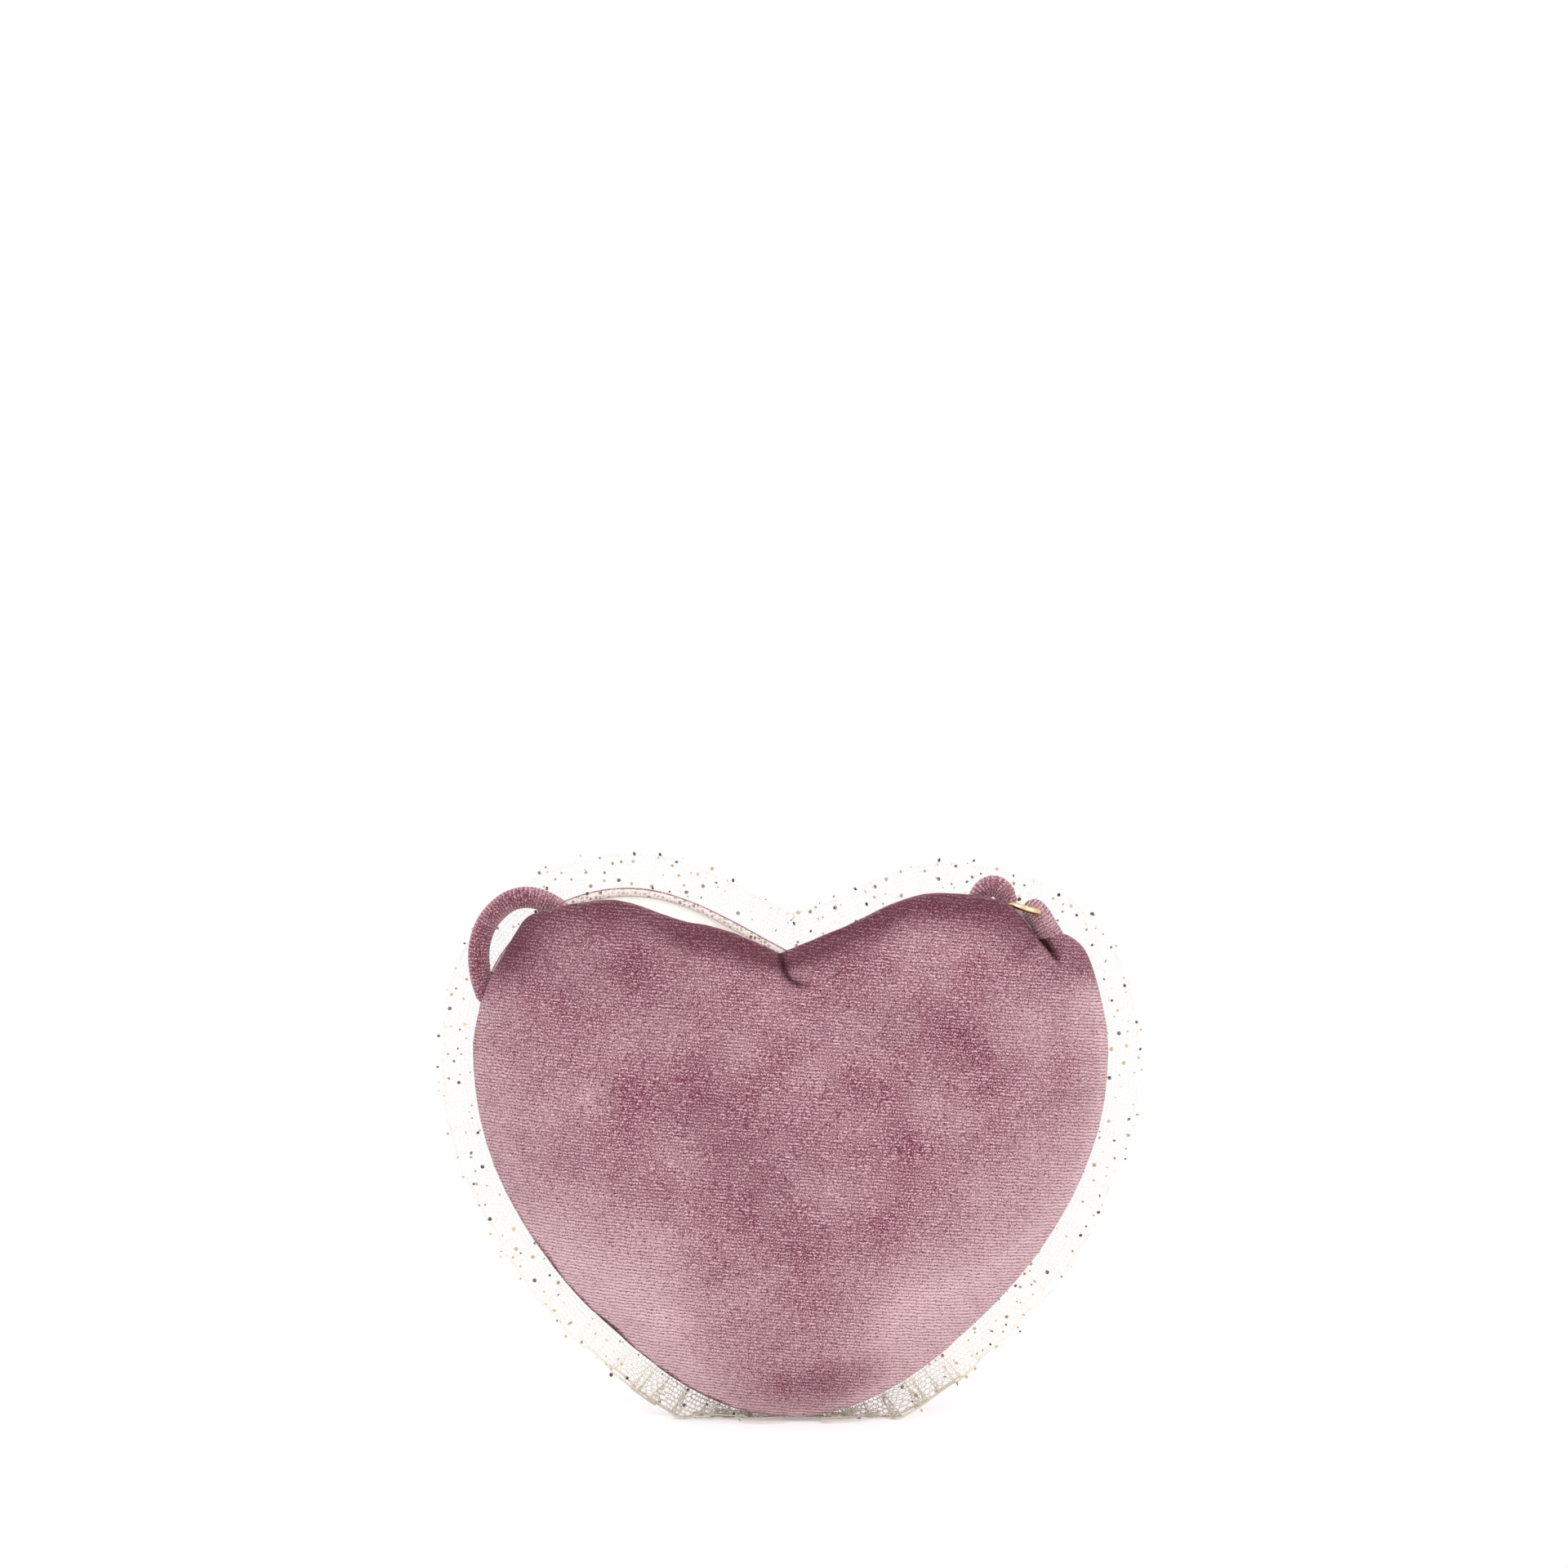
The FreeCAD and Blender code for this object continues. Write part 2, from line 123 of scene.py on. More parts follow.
def half_outline(stations, count):
    """Evenly spaced points of a half heart, smooth through its stations."""
    runs = []
    for start, end in zip(stations, stations[1:]):
        first, last = np.array(start[:2]), np.array(end[:2])
        leaving, arriving = start[-1], end[2]
        turn = max(math.radians(abs(arriving - leaving)), 0.02)
        handle = np.hypot(*(last - first)) * (4 / 3 * math.tan(turn / 4)) / (2 * math.sin(turn / 2))
        near, far = first + handle * slanted(leaving), last - handle * slanted(arriving)
        t = np.linspace(0, 1, 60, endpoint=False)[:, None]
        runs.append((1 - t) ** 3 * first + 3 * (1 - t) ** 2 * t * near
                    + 3 * (1 - t) * t * t * far + t ** 3 * last)
    line = np.concatenate(runs + [np.array([stations[-1][:2]])])
    reach = np.concatenate(([0.0], np.cumsum(np.hypot(*np.diff(line, axis=0).T))))
    even = np.linspace(0, reach[-1], count)
    return np.column_stack([np.interp(even, reach, line[:, axis]) for axis in (0, 1)])


def heart_outline(right, left, count):
    """Closed outline from the tip up the right side, over the notch and down the mirrored left side."""
    up = half_outline(right, count // 2 + 1)
    down = half_outline(left, count // 2 + 1) * (-1.0, 1.0)
    return np.concatenate((up[:-1], down[:0:-1]))


def line_distance(x, z, line):
    """Distance to a line of points, the share of the way along it, and the side that a point is on."""
    best = np.full(x.shape, 1e9)
    along = np.zeros(x.shape)
    side = np.ones(x.shape)
    for index, (start, end) in enumerate(zip(line, line[1:])):
        run = np.subtract(end, start)
        share = np.clip(((x - start[0]) * run[0] + (z - start[1]) * run[1]) / (run @ run), 0, 1)
        gap = np.hypot(x - start[0] - share * run[0], z - start[1] - share * run[1])
        nearer = gap < best
        best = np.where(nearer, gap, best)
        along = np.where(nearer, (index + share) / (len(line) - 1), along)
        turned = (x - start[0]) * -run[1] + (z - start[1]) * run[0]
        side = np.where(nearer, np.sign(turned), side)
    return best, along, side


def waves(first, second, length, seed):
    """Soft uneven waves over two coordinates, from -1 to 1."""
    random = np.random.default_rng(seed)
    total = np.zeros(np.broadcast(first, second).shape)
    for _ in range(wave_count):
        angle = random.uniform(0, math.tau)
        phase = random.uniform(0, math.tau)
        stretch = random.uniform(0.7, 1.5)
        across = first * math.cos(angle) + second * math.sin(angle)
        total = total + np.sin(across * math.tau / length * stretch + phase)
    return total / wave_count


def bow_open(points):
    """Bows the top of the front panel outwards, as the tucked-in strap holds it."""
    share = smooth_share((points[..., 2] - bow_low_z) / (bow_high_z - bow_low_z))
    turn = math.radians(gape_angle) * share
    y, z = points[..., 1] - hinge_y, points[..., 2] - hinge_z
    bowed = points.copy()
    bowed[..., 1] = hinge_y + y * np.cos(turn) - z * np.sin(turn)
    bowed[..., 2] = hinge_z + y * np.sin(turn) + z * np.cos(turn)
    return bowed


def unbowed_outline(outline):
    """Outline that bow_open brings to the given one."""
    flat = np.column_stack((outline[:, 0], np.zeros(len(outline)), outline[:, 1]))
    for _ in range(30):
        flat[:, 2] -= bow_open(flat)[:, 2] - outline[:, 1]
    return flat[:, (0, 2)]


def piece_of(name, points, faces, material, edges=()):
    """New smooth object from points in millimetres."""
    mesh = bpy.data.meshes.new(name)
    mesh.from_pydata((np.asarray(points, float) * MM).tolist(), list(edges), faces)
    mesh.polygons.foreach_set("use_smooth", [True] * len(mesh.polygons))
    mesh.materials.append(material)
    mesh.update()
    piece = bpy.data.objects.new(name, mesh)
    scene.collection.objects.link(piece)
    return piece


def grid_faces(rows, columns, closed_rows=False, closed_columns=True):
    """Quads of a grid of points, row by row."""
    faces = []
    for row in range(rows if closed_rows else rows - 1):
        upper = (row + 1) % rows
        for column in range(columns if closed_columns else columns - 1):
            beside = (column + 1) % columns
            faces.append((row * columns + column, row * columns + beside,
                          upper * columns + beside, upper * columns + column))
    return faces


# Camera, level in front of the purse, with the photograph's framing
camera_data = bpy.data.cameras.new("camera")
camera = bpy.data.objects.new("camera", camera_data)
scene.collection.objects.link(camera)
camera_data.sensor_width = 36.0
camera_data.lens = 85.0
camera.location = (-1.8 * MM, -1040 * MM, 178.4 * MM)
camera.rotation_euler = (math.radians(90), 0, 0)
scene.camera = camera


# Node trees
def fill_sockets(tree, made, values):
    """Puts values into a node's sockets, and links other sockets to them."""
    for key, value in values.items():
        if isinstance(value, bpy.types.NodeSocket):
            tree.links.new(value, made.inputs[key])
        else:
            made.inputs[key].default_value = value


def node(tree, kind, values=None, **settings):
    """New node with its settings made and its sockets filled."""
    made = tree.nodes.new(kind)
    for name, value in settings.items():
        setattr(made, name, value)
    fill_sockets(tree, made, values or {})
    return made


def maths(tree, operation, *values):
    """Result of a maths node."""
    return node(tree, "ShaderNodeMath", dict(enumerate(values)), operation=operation).outputs[0]


def mixed(tree, share, first, second):
    """Mix of two colours, each a socket or its red, green and blue."""
    colours = [colour if isinstance(colour, bpy.types.NodeSocket) else (*colour, 1.0)
               for colour in (first, second)]
    values = {"Factor": share, 6: colours[0], 7: colours[1]}
    return node(tree, "ShaderNodeMix", values, data_type="RGBA").outputs[2]


def ranged(tree, value, low, high, to_low=0.0, to_high=1.0):
    """Value carried from one range to another and kept inside it."""
    return node(tree, "ShaderNodeMapRange", {"Value": value, "From Min": low, "From Max": high,
                                             "To Min": to_low, "To Max": to_high}).outputs[0]


def noise(tree, vector, scale, detail=2.0):
    """Cloudy values about a half."""
    made = node(tree, "ShaderNodeTexNoise", {"Vector": vector, "Scale": scale, "Detail": detail})
    return made.outputs["Fac"]


def parts_of(tree, vector):
    """The three parts of a vector."""
    return node(tree, "ShaderNodeSeparateXYZ", {0: vector}).outputs


def new_tree(name, kind, inputs, outputs):
    """Empty node tree with named sockets: the tree, what it is given, and where its results are put."""
    tree = bpy.data.node_groups.new(name, kind)
    for way, sockets in (("INPUT", inputs), ("OUTPUT", outputs)):
        for label, socket in sockets.items():
            tree.interface.new_socket(label, in_out=way, socket_type="NodeSocket" + socket)
    return tree, tree.nodes.new("NodeGroupInput").outputs, tree.nodes.new("NodeGroupOutput").inputs


def knitted_pile_group():
    """Rows of knitted velvet pile with glinting fibre tips, and painted shade in its hollows. Lengths are in
    millimetres.
    """
    group, given, put = new_tree("knitted pile", "ShaderNodeTree",
                                 {"Across": "Float", "Place": "Vector", "Pitch": "Float"},
                                 dict.fromkeys(("Rows", "Glints", "Hollow Shade", "Patches"), "Float"))
    warp = maths(group, "MULTIPLY", maths(group, "SUBTRACT", noise(group, given["Place"], 0.35), 0.5), 0.9)
    phase = maths(group, "DIVIDE", maths(group, "ADD", given["Across"], warp), given["Pitch"])
    wave = maths(group, "SINE", maths(group, "MULTIPLY", phase, math.tau))
    crest = maths(group, "MULTIPLY_ADD", wave, 0.5, 0.5)
    fine = noise(group, given["Place"], 2.7, 1.0)
    bright = maths(group, "MULTIPLY", ranged(group, fine, 0.49, 0.60),
                   ranged(group, crest, 0.2, 0.85, 0.25, 1.0))
    # Painted shade in the hollows of the pile, deepest between rows
    dark = maths(group, "MULTIPLY", ranged(group, fine, 0.38, 0.50, 1.0, 0.0),
                 ranged(group, crest, 0.1, 0.9, 1.0, 0.45))
    cloud = ranged(group, noise(group, given["Place"], 0.05, 5.0), 0.36, 0.64)
    for label, value in (("Rows", crest), ("Glints", bright), ("Hollow Shade", dark), ("Patches", cloud)):
        group.links.new(value, put[label])
    return group


def woven_group():
    """Plain weave of two threads. Lengths are in millimetres."""
    group, given, put = new_tree("plain weave", "ShaderNodeTree", {"Place": "Vector", "Pitch": "Float"},
                                 {"Height": "Float", "Slubs": "Float"})
    parts = parts_of(group, given["Place"])
    threads = []
    for axis in (0, 2):
        turns = maths(group, "DIVIDE", parts[axis], given["Pitch"])
        threads.append(maths(group, "SINE", maths(group, "MULTIPLY", turns, math.tau)))
    crossed = maths(group, "MULTIPLY", *threads)
    group.links.new(maths(group, "MULTIPLY_ADD", crossed, 0.5, 0.5), put["Height"])
    group.links.new(ranged(group, noise(group, given["Place"], 0.25, 4.0), 0.3, 0.7), put["Slubs"])
    return group


knitted_pile = knitted_pile_group()
plain_weave = woven_group()


# Finishes
def material_base(name):
    """Material with a Principled shader, and its place in millimetres on Object coordinates."""
    material = bpy.data.materials.new(name)
    material.use_nodes = True
    tree = material.node_tree
    shader = tree.nodes["Principled BSDF"]
    place = node(tree, "ShaderNodeMapping", {"Vector": node(tree, "ShaderNodeTexCoord").outputs["Object"],
                                             "Scale": (1 / MM, 1 / MM, 1 / MM)}).outputs[0]
    return material, tree, shader, place


def bumped(tree, height, strength, distance):
    """Normal of a bump whose height is in millimetres."""
    values = {"Height": height, "Strength": strength, "Distance": distance * MM}
    return node(tree, "ShaderNodeBump", values).outputs[0]


# Velvet colours: the dark tone is the pile's own darker tone and also painted shade; the light tone is the
# pile's own paler tone and also painted sheen and painted light; the groove colour is painted shade between
# the rows and in the pile's hollows; the crease colour is painted shadow inside creases
velvet_dark_pile_and_shade = (0.120, 0.023, 0.040)
velvet_mid = (0.276, 0.083, 0.116)
velvet_pale_tone_and_sheen = (0.94, 0.655, 0.69)
velvet_glint = (0.82, 0.54, 0.60)
velvet_groove_shade = (0.13, 0.035, 0.055)
velvet_crease_shadow = (0.035, 0.007, 0.012)
velvet_row_pitch = 0.92
velvet_row_slant = 0.085


def velvet_material(name, along_cord):
    """Dusty pink knitted velvet, whose rows lie level on a panel and run round a cord.

    The piece's stored pile value says how the pile lies and where light and shade are painted: 1 is dark,
    from the pile and from painted shade; -1 is painted sheen and painted light; more than 1 is painted
    shadow inside a crease.
    """
    material, tree, shader, place = material_base(name)
    if along_cord:
        across = parts_of(tree, node(tree, "ShaderNodeUVMap").outputs[0])[0]
    else:
        parts = parts_of(tree, place)
        across = maths(tree, "MULTIPLY_ADD", parts[0], velvet_row_slant, parts[2])
    values = {"Across": across, "Place": place, "Pitch": velvet_row_pitch}
    pile = node(tree, "ShaderNodeGroup", values, node_tree=knitted_pile).outputs
    rows, glints = pile["Rows"], pile["Glints"]
    pile_and_painted_light = node(tree, "ShaderNodeAttribute", attribute_name="pile_and_painted_light").outputs["Fac"]
    colour = mixed(tree, maths(tree, "MULTIPLY", pile["Patches"], 0.34), velvet_mid, velvet_pale_tone_and_sheen)
    # The pile's darker tone and painted shade, where the stored value is above 0
    colour = mixed(tree, ranged(tree, pile_and_painted_light, 0.0, 1.0), colour, velvet_dark_pile_and_shade)
    # Painted sheen and painted light, where the stored value is below 0
    painted_light_share = maths(tree, "MAXIMUM", maths(tree, "MULTIPLY", pile_and_painted_light, -1.0), 0.0)
    colour = mixed(tree, painted_light_share, colour, velvet_pale_tone_and_sheen)
    clear_rows = ranged(tree, noise(tree, place, 0.09, 2.0), 0.35, 0.65, 0.25, 0.65)
    lifted_rows = ranged(tree, pile_and_painted_light, -0.5, 0.0, 0.85 if along_cord else 0.6, 0.0)
    clear_rows = maths(tree, "MAXIMUM", clear_rows, lifted_rows)
    # Painted shade in the grooves between rows and in the pile's hollows
    groove_shade = maths(tree, "MULTIPLY", ranged(tree, rows, 0.0, 0.55, 1.0, 0.0), clear_rows)
    colour = mixed(tree, maths(tree, "MAXIMUM", groove_shade, pile["Hollow Shade"]), colour, velvet_groove_shade)
    glinting = maths(tree, "MULTIPLY", glints, ranged(tree, pile_and_painted_light, 0.0, 1.0, 1.0, 0.35))
    colour = mixed(tree, glinting, colour, velvet_glint)
    # Painted shadow inside creases, where the stored value is above 1
    colour = mixed(tree, ranged(tree, pile_and_painted_light, 1.0, 1.9), colour, velvet_crease_shadow)
    height = maths(tree, "MULTIPLY_ADD", glints, 0.35, rows)
    fill_sockets(tree, shader, {
        "Base Color": colour,
        "Roughness": ranged(tree, glints, 0.0, 1.0, 0.85, 0.45),
        "Normal": bumped(tree, height, 0.6, 0.16),
        "Specular IOR Level": 0.08,
        "Sheen Weight": 0.4,
        "Sheen Roughness": 0.35,
        "Sheen Tint": (1.0, 0.74, 0.78, 1.0),
    })
    return material


def woven_material(name, colour, shade, pitch, roughness, painted_glow=0.0):
    """Plain woven cloth; its glow is painted light, an emission that brightens cloth lying in shade."""
    material, tree, shader, place = material_base(name)
    weave = node(tree, "ShaderNodeGroup", {"Place": place, "Pitch": pitch}, node_tree=plain_weave).outputs
    base = mixed(tree, maths(tree, "MULTIPLY", weave["Slubs"], 0.5), colour, shade)
    # Painted shade in the low parts of the weave
    base = mixed(tree, ranged(tree, weave["Height"], 0.0, 0.5, 0.35, 0.0), base, shade)
    fill_sockets(tree, shader, {
        "Base Color": base,
        "Roughness": ranged(tree, weave["Slubs"], 0, 1, roughness, roughness + 0.15),
        "Normal": bumped(tree, weave["Height"], 0.4, 0.06),
        "Specular IOR Level": 0.3,
    })
    # Painted light: the cloth glows, brightening it where it lies in shade
    if painted_glow:
        fill_sockets(tree, shader, {"Emission Color": (1.0, 0.95, 0.90, 1.0), "Emission Strength": painted_glow})
    return material


def metal_material(name, colour, tarnish, roughness):
    """Plated metal with faint scratches and a duller tone where it is handled."""
    material, tree, shader, place = material_base(name)
    handled = ranged(tree, noise(tree, place, 0.6, 4.0), 0.4, 0.75, 0.0, 0.6)
    drawn_out = node(tree, "ShaderNodeMapping", {"Vector": place, "Scale": (9.0, 0.7, 0.7)}).outputs[0]
    scratches = noise(tree, drawn_out, 1.0)
    fill_sockets(tree, shader, {
        "Base Color": mixed(tree, handled, colour, tarnish),
        "Roughness": ranged(tree, scratches, 0.3, 0.7, roughness, roughness + 0.14),
        "Normal": bumped(tree, scratches, 0.08, 0.03),
        "Metallic": 1.0,
    })
    return material


def net_material():
    """Ivory nylon thread of uneven tone, almost clear above, warmer and denser near the floor, with painted
    light from an emission that makes the threads glow except near the floor.
    """
    material, tree, shader, place = material_base("ivory net thread")
    tone = ranged(tree, noise(tree, place, 0.12, 2.0), 0.35, 0.65)
    height = parts_of(tree, place)[2]
    low = ranged(tree, height, crushed_z, free_z, 1.0, 0.0)
    colour = mixed(tree, tone, (0.96, 0.945, 0.925), (0.90, 0.865, 0.83))
    colour = mixed(tree, ranged(tree, height, free_z, 70.0, 0.8, 0.0), colour, (0.95, 0.86, 0.70))
    colour = mixed(tree, low, colour, (0.84, 0.765, 0.66))
    fill_sockets(tree, shader, {
        "Base Color": colour,
        "Roughness": ranged(tree, tone, 0, 1, 0.3, 0.5),
        "Alpha": ranged(tree, low, 0.0, 1.0, 0.34, 0.95),
        # Painted light: the threads glow, except near the floor
        "Emission Color": mixed(tree, low, colour, (0.10, 0.085, 0.07)),
        "Emission Strength": 0.22,
    })
    return material


def netted_tape_material():
    """Net folded over the velvet edge: ivory threads round dark pink holes."""
    material, tree, shader, place = material_base("netted tape")
    cells = node(tree, "ShaderNodeTexVoronoi", {"Vector": place, "Scale": 0.8, "Randomness": 0.45},
                 feature="DISTANCE_TO_EDGE").outputs["Distance"]
    holes = ranged(tree, cells, 0.12, 0.26)
    pink = ranged(tree, noise(tree, place, 0.16, 2.0), 0.42, 0.62)
    hole_colour = mixed(tree, pink, (0.62, 0.50, 0.47), (0.25, 0.09, 0.12))
    fill_sockets(tree, shader, {
        "Base Color": mixed(tree, holes, (0.93, 0.86, 0.81), hole_colour),
        "Roughness": ranged(tree, holes, 0, 1, 0.5, 0.8),
        "Normal": bumped(tree, maths(tree, "SUBTRACT", 1.0, holes), 0.5, 0.15),
    })
    return material


def glitter_material(name, colour, deep):
    """Metallic flake whose tone changes from flake to flake."""
    material, tree, shader, place = material_base(name)
    tone = ranged(tree, noise(tree, place, 0.4, 1.0), 0.35, 0.65)
    fill_sockets(tree, shader, {
        "Base Color": mixed(tree, tone, colour, deep),
        "Roughness": ranged(tree, tone, 0, 1, 0.2, 0.4),
        "Metallic": 0.8,
    })
    return material


panel_velvet = velvet_material("dusty pink velvet", along_cord=False)
cord_velvet = velvet_material("dusty pink velvet cord", along_cord=True)
# The lining's glow is painted light, brightening it where it lies in shade inside the mouth
cream_lining = woven_material("cream lining", (0.965, 0.95, 0.93), (0.86, 0.825, 0.79), 0.45, 0.6, painted_glow=0.2)
ivory_tape = woven_material("ivory tape", (0.84, 0.80, 0.75), (0.66, 0.60, 0.54), 0.7, 0.7)
pale_brass = metal_material("pale brass", (0.90, 0.70, 0.42), (0.62, 0.42, 0.24), 0.16)
nickel = metal_material("nickel", (0.74, 0.73, 0.71), (0.52, 0.50, 0.48), 0.22)
net_thread = net_material()
netted_tape = netted_tape_material()
grey_glitter = glitter_material("grey glitter", (0.16, 0.14, 0.15), (0.05, 0.045, 0.05))
gold_glitter = glitter_material("gold glitter", (0.72, 0.55, 0.30), (0.46, 0.33, 0.17))


# Velvet panels, linings and seam tape
def closed_outwards(piece):
    """Turns the faces of a closed piece outwards."""
    shell = bmesh.new()
    shell.from_mesh(piece.data)
    bmesh.ops.recalc_face_normals(shell, faces=shell.faces)
    shell.to_mesh(piece.data)
    shell.free()
    return piece


def dome_rows(count):
    """Shares of the way from the crown to the rim, closer together at the rim."""
    return 1.0 - (1.0 - np.linspace(0, 1, count + 1)[1:]) ** 1.7


def dome_height(share):
    """Height of the padded dome, as a share of its depth."""
    return np.sqrt(np.maximum(1.0 - share ** dome_fullness, 0.0))


def shell_points(outline, profile, side, rim_y):
    """Points of a shell: for each row of the profile (share, inset and depth), one round of the outline."""
    crown = np.array((0.0, crown_z))
    spokes = outline - crown
    reach = np.hypot(*spokes.T)[:, None]
    rows = []
    for share, inset, depth in profile:
        flat = crown + spokes * (1.0 - inset / reach) * share
        rows.append(np.column_stack((flat[:, 0], np.full(len(flat), rim_y + side * depth), flat[:, 1])))
    return np.array(rows)


def closed_shell(name, rows, poles, material):
    """Closed piece from rows of points, with a pole at each end."""
    count, columns = rows.shape[:2]
    points = np.concatenate((rows.reshape(-1, 3), np.array(poles)))
    faces = grid_faces(count, columns)
    for pole, first in ((count * columns, 0), (count * columns + 1, (count - 1) * columns)):
        faces += [(pole, first + column, first + (column + 1) % columns) for column in range(columns)]
    return closed_outwards(piece_of(name, points, faces, material))


def closed_band(name, rows, material):
    """Closed piece from rows of points that each go round the same loop."""
    faces = grid_faces(*rows.shape[:2], closed_rows=True)
    return closed_outwards(piece_of(name, rows.reshape(-1, 3), faces, material))


def pad_profile(count):
    """Outer face of a padded panel from its crown to the rim, the rolled edge, and the inner face back."""
    swell = dome_depth - edge_roll
    outer = [(share, 0.0, edge_roll + swell * dome_height(share)) for share in dome_rows(count)]
    roll = [(1.0, 0.3, 0.6 * edge_roll), (1.0, 0.9, 0.2 * edge_roll), (1.0, 1.8, 0.05), (1.0, 2.6, 0.3)]
    inner = [(share, 2.8, 0.5 + (dome_depth - pad_thickness - 0.5) * dome_height(share))
             for share in dome_rows(count // 2)[::-1]]
    return outer + roll + inner


def puckered(rows, profile, side, seed):
    """Small gathers where the panel is sewn at its edge, and the soft unevenness of its filling."""
    shaped = rows.copy()
    share = np.array([row[0] for row in profile])[:, None]
    columns = rows.shape[1]
    along = np.linspace(0, outline_length, columns, endpoint=False)[None, :]
    gathers = waves(along, share * 6.0, 13.0, seed) + 0.6 * waves(along, share * 4.0, 7.0, seed + 1)
    edge = smooth_share((share - 0.80) / 0.17)
    outside = (np.arange(len(profile)) < np.argmax(share[:, 0] >= 1.0) + 1)[:, None]
    uneven = waves(rows[..., 0], rows[..., 2], 62.0, seed + 2)
    shaped[..., 1] += side * (0.8 * gathers * edge * outside + 1.1 * uneven * (1.0 - share ** 4))
    return shaped


def crease_fade(along):
    """Weight of a crease, which runs out at its lower end."""
    return 1.0 - smooth_share((along - 0.72) / 0.28)


def behind_rim(shaped, points, room):
    """Keeps pushed-in points of the front inside the plane of its rim."""
    shaped[..., 1] = np.minimum(shaped[..., 1], np.maximum(points[..., 1], front_rim_y - room))
    return shaped


def drawn_under(shaped, share, gap):
    """Draws cloth under the fold of the tuck, to the left and down."""
    draw = tuck_draw * share * np.exp(-gap / tuck_draw_reach)
    shaped[..., 0] -= 0.80 * draw
    shaped[..., 2] -= 0.60 * draw
    return shaped


def creased_lining(points):
    """Keeps the lining behind the tuck and the crease of its panel."""
    shaped = points.copy()
    x, z = points[..., 0], points[..., 2]
    gap, along, side = line_distance(x, z, shoulder_tuck)
    share = crease_fade(along) * smooth_share(side * gap / 3.0 * 0.5 + 1.0)
    shaped[..., 1] += share * (tuck_depth * np.exp(-gap / tuck_reach) + 0.9 * np.exp(-gap / 5.0))
    shaped = drawn_under(behind_rim(shaped, points, 0.3), share, gap)
    gap, along, _ = line_distance(x, z, notch_crease)
    shaped[..., 1] += 3.6 * crease_fade(along) * np.exp(-(gap / 4.0) ** 2)
    return shaped


def creased_front(points):
    """Tuck at the right shoulder and crease under the notch, in the bowed panel."""
    shaped = points.copy()
    x, z = points[..., 0], points[..., 2]
    gap, along, side = line_distance(x, z, shoulder_tuck)
    fade = crease_fade(along)
    behind = smooth_share(side * gap / 0.8 * 0.5 + 0.5)
    pushed_in = tuck_depth * np.exp(-gap / tuck_reach) * behind
    puffed_out = 2.2 * np.exp(-gap / 7.0) * (1.0 - behind)
    shaped[..., 1] += fade * (pushed_in - puffed_out)
    shaped = drawn_under(behind_rim(shaped, points, 1.2), fade * behind, gap)
    gap, along, _ = line_distance(x, z, notch_crease)
    groove = 2.4 * np.exp(-(gap / 0.9) ** 2)
    lips = 1.3 * np.exp(-((gap - 3.4) / 2.2) ** 2)
    shaped[..., 1] += crease_fade(along) * (groove - lips)
    return shaped


def painted_crease_shade(points):
    """Painted shadow inside the tuck and the crease."""
    x, z = points[..., 0], points[..., 2]
    gap, along, side = line_distance(x, z, shoulder_tuck)
    shade = np.exp(-(gap / np.where(side > 0, 2.6 - 1.6 * along, 0.8)) ** 2) * crease_fade(along)
    gap, along, _ = line_distance(x, z, notch_crease)
    return shade + 0.55 * np.exp(-(gap / 0.7) ** 2) * crease_fade(along)


def panel_pile_and_painted_light(points, share, top_weight):
    """How the pile lies and where light and shade are painted: dark at the top edge, partly the pile and
    partly painted shade, and dark in brushed patches of pile; painted sheen at the rim, painted light low on
    the sides, and a painted shadow line at the seam low on the left.
    """
    x, z = points[..., 0], points[..., 2]
    # Darker towards the top edge: partly the pile's lie, partly painted shade
    top = smooth_share((z - 116.0) / 14.0)
    low = smooth_share((75.0 - z) / 45.0)
    brushed = 0.9 + 0.3 * waves(x, z, 34.0, 77) - 0.5 * smooth_share((x - 66.0) / 9.0)
    pile_and_painted_light = top_weight * top * brushed * smooth_share((share - 0.82) / 0.17)
    for middle_x, middle_z, long, wide, turn, weight in brushed_patches:
        across = slanted(turn)
        run = ((x - middle_x) * across[0] + (z - middle_z) * across[1]) / long
        rise = (-(x - middle_x) * across[1] + (z - middle_z) * across[0]) / wide
        pile_and_painted_light = pile_and_painted_light + weight * np.exp(-run * run - rise * rise)
    beside_tip = 0.3 + 0.7 * smooth_share((np.abs(x + 4.0) - 10.0) / 26.0)
    # Painted light on the sides low down, where the floor lights them
    painted_flank_light = smooth_share((share - 0.42) / 0.45) * (1.0 - top) * beside_tip
    left_edge = smooth_share((-x - 58.0) / 16.0)
    # Painted sheen along the rim, weaker on the left
    rim = smooth_share((share - 0.84) / 0.14) + 0.9 * smooth_share((share - 0.955) / 0.03)
    rim = rim * (1.0 - top) * (0.7 + 0.5 * low) * (1.0 - 0.7 * left_edge)
    pile_and_painted_light = np.clip(pile_and_painted_light - 0.5 * rim - 1.1 * painted_flank_light * (0.25 + 0.75 * low), -1.0, 1.0)
    # Painted shadow line between the velvet and the net, low on the left
    seam = smooth_share((share - 0.985) / 0.01) * smooth_share((-x - 8.0) / 14.0) * low
    return pile_and_painted_light + (1.25 - pile_and_painted_light) * seam


def set_pile_and_painted_light(piece, values):
    """Stores how the pile lies, and where light and shade are painted, at each point of a piece."""
    attribute = piece.data.attributes.new("pile_and_painted_light", "FLOAT", "POINT")
    attribute.data.foreach_set("value", np.asarray(values, np.float32).ravel())


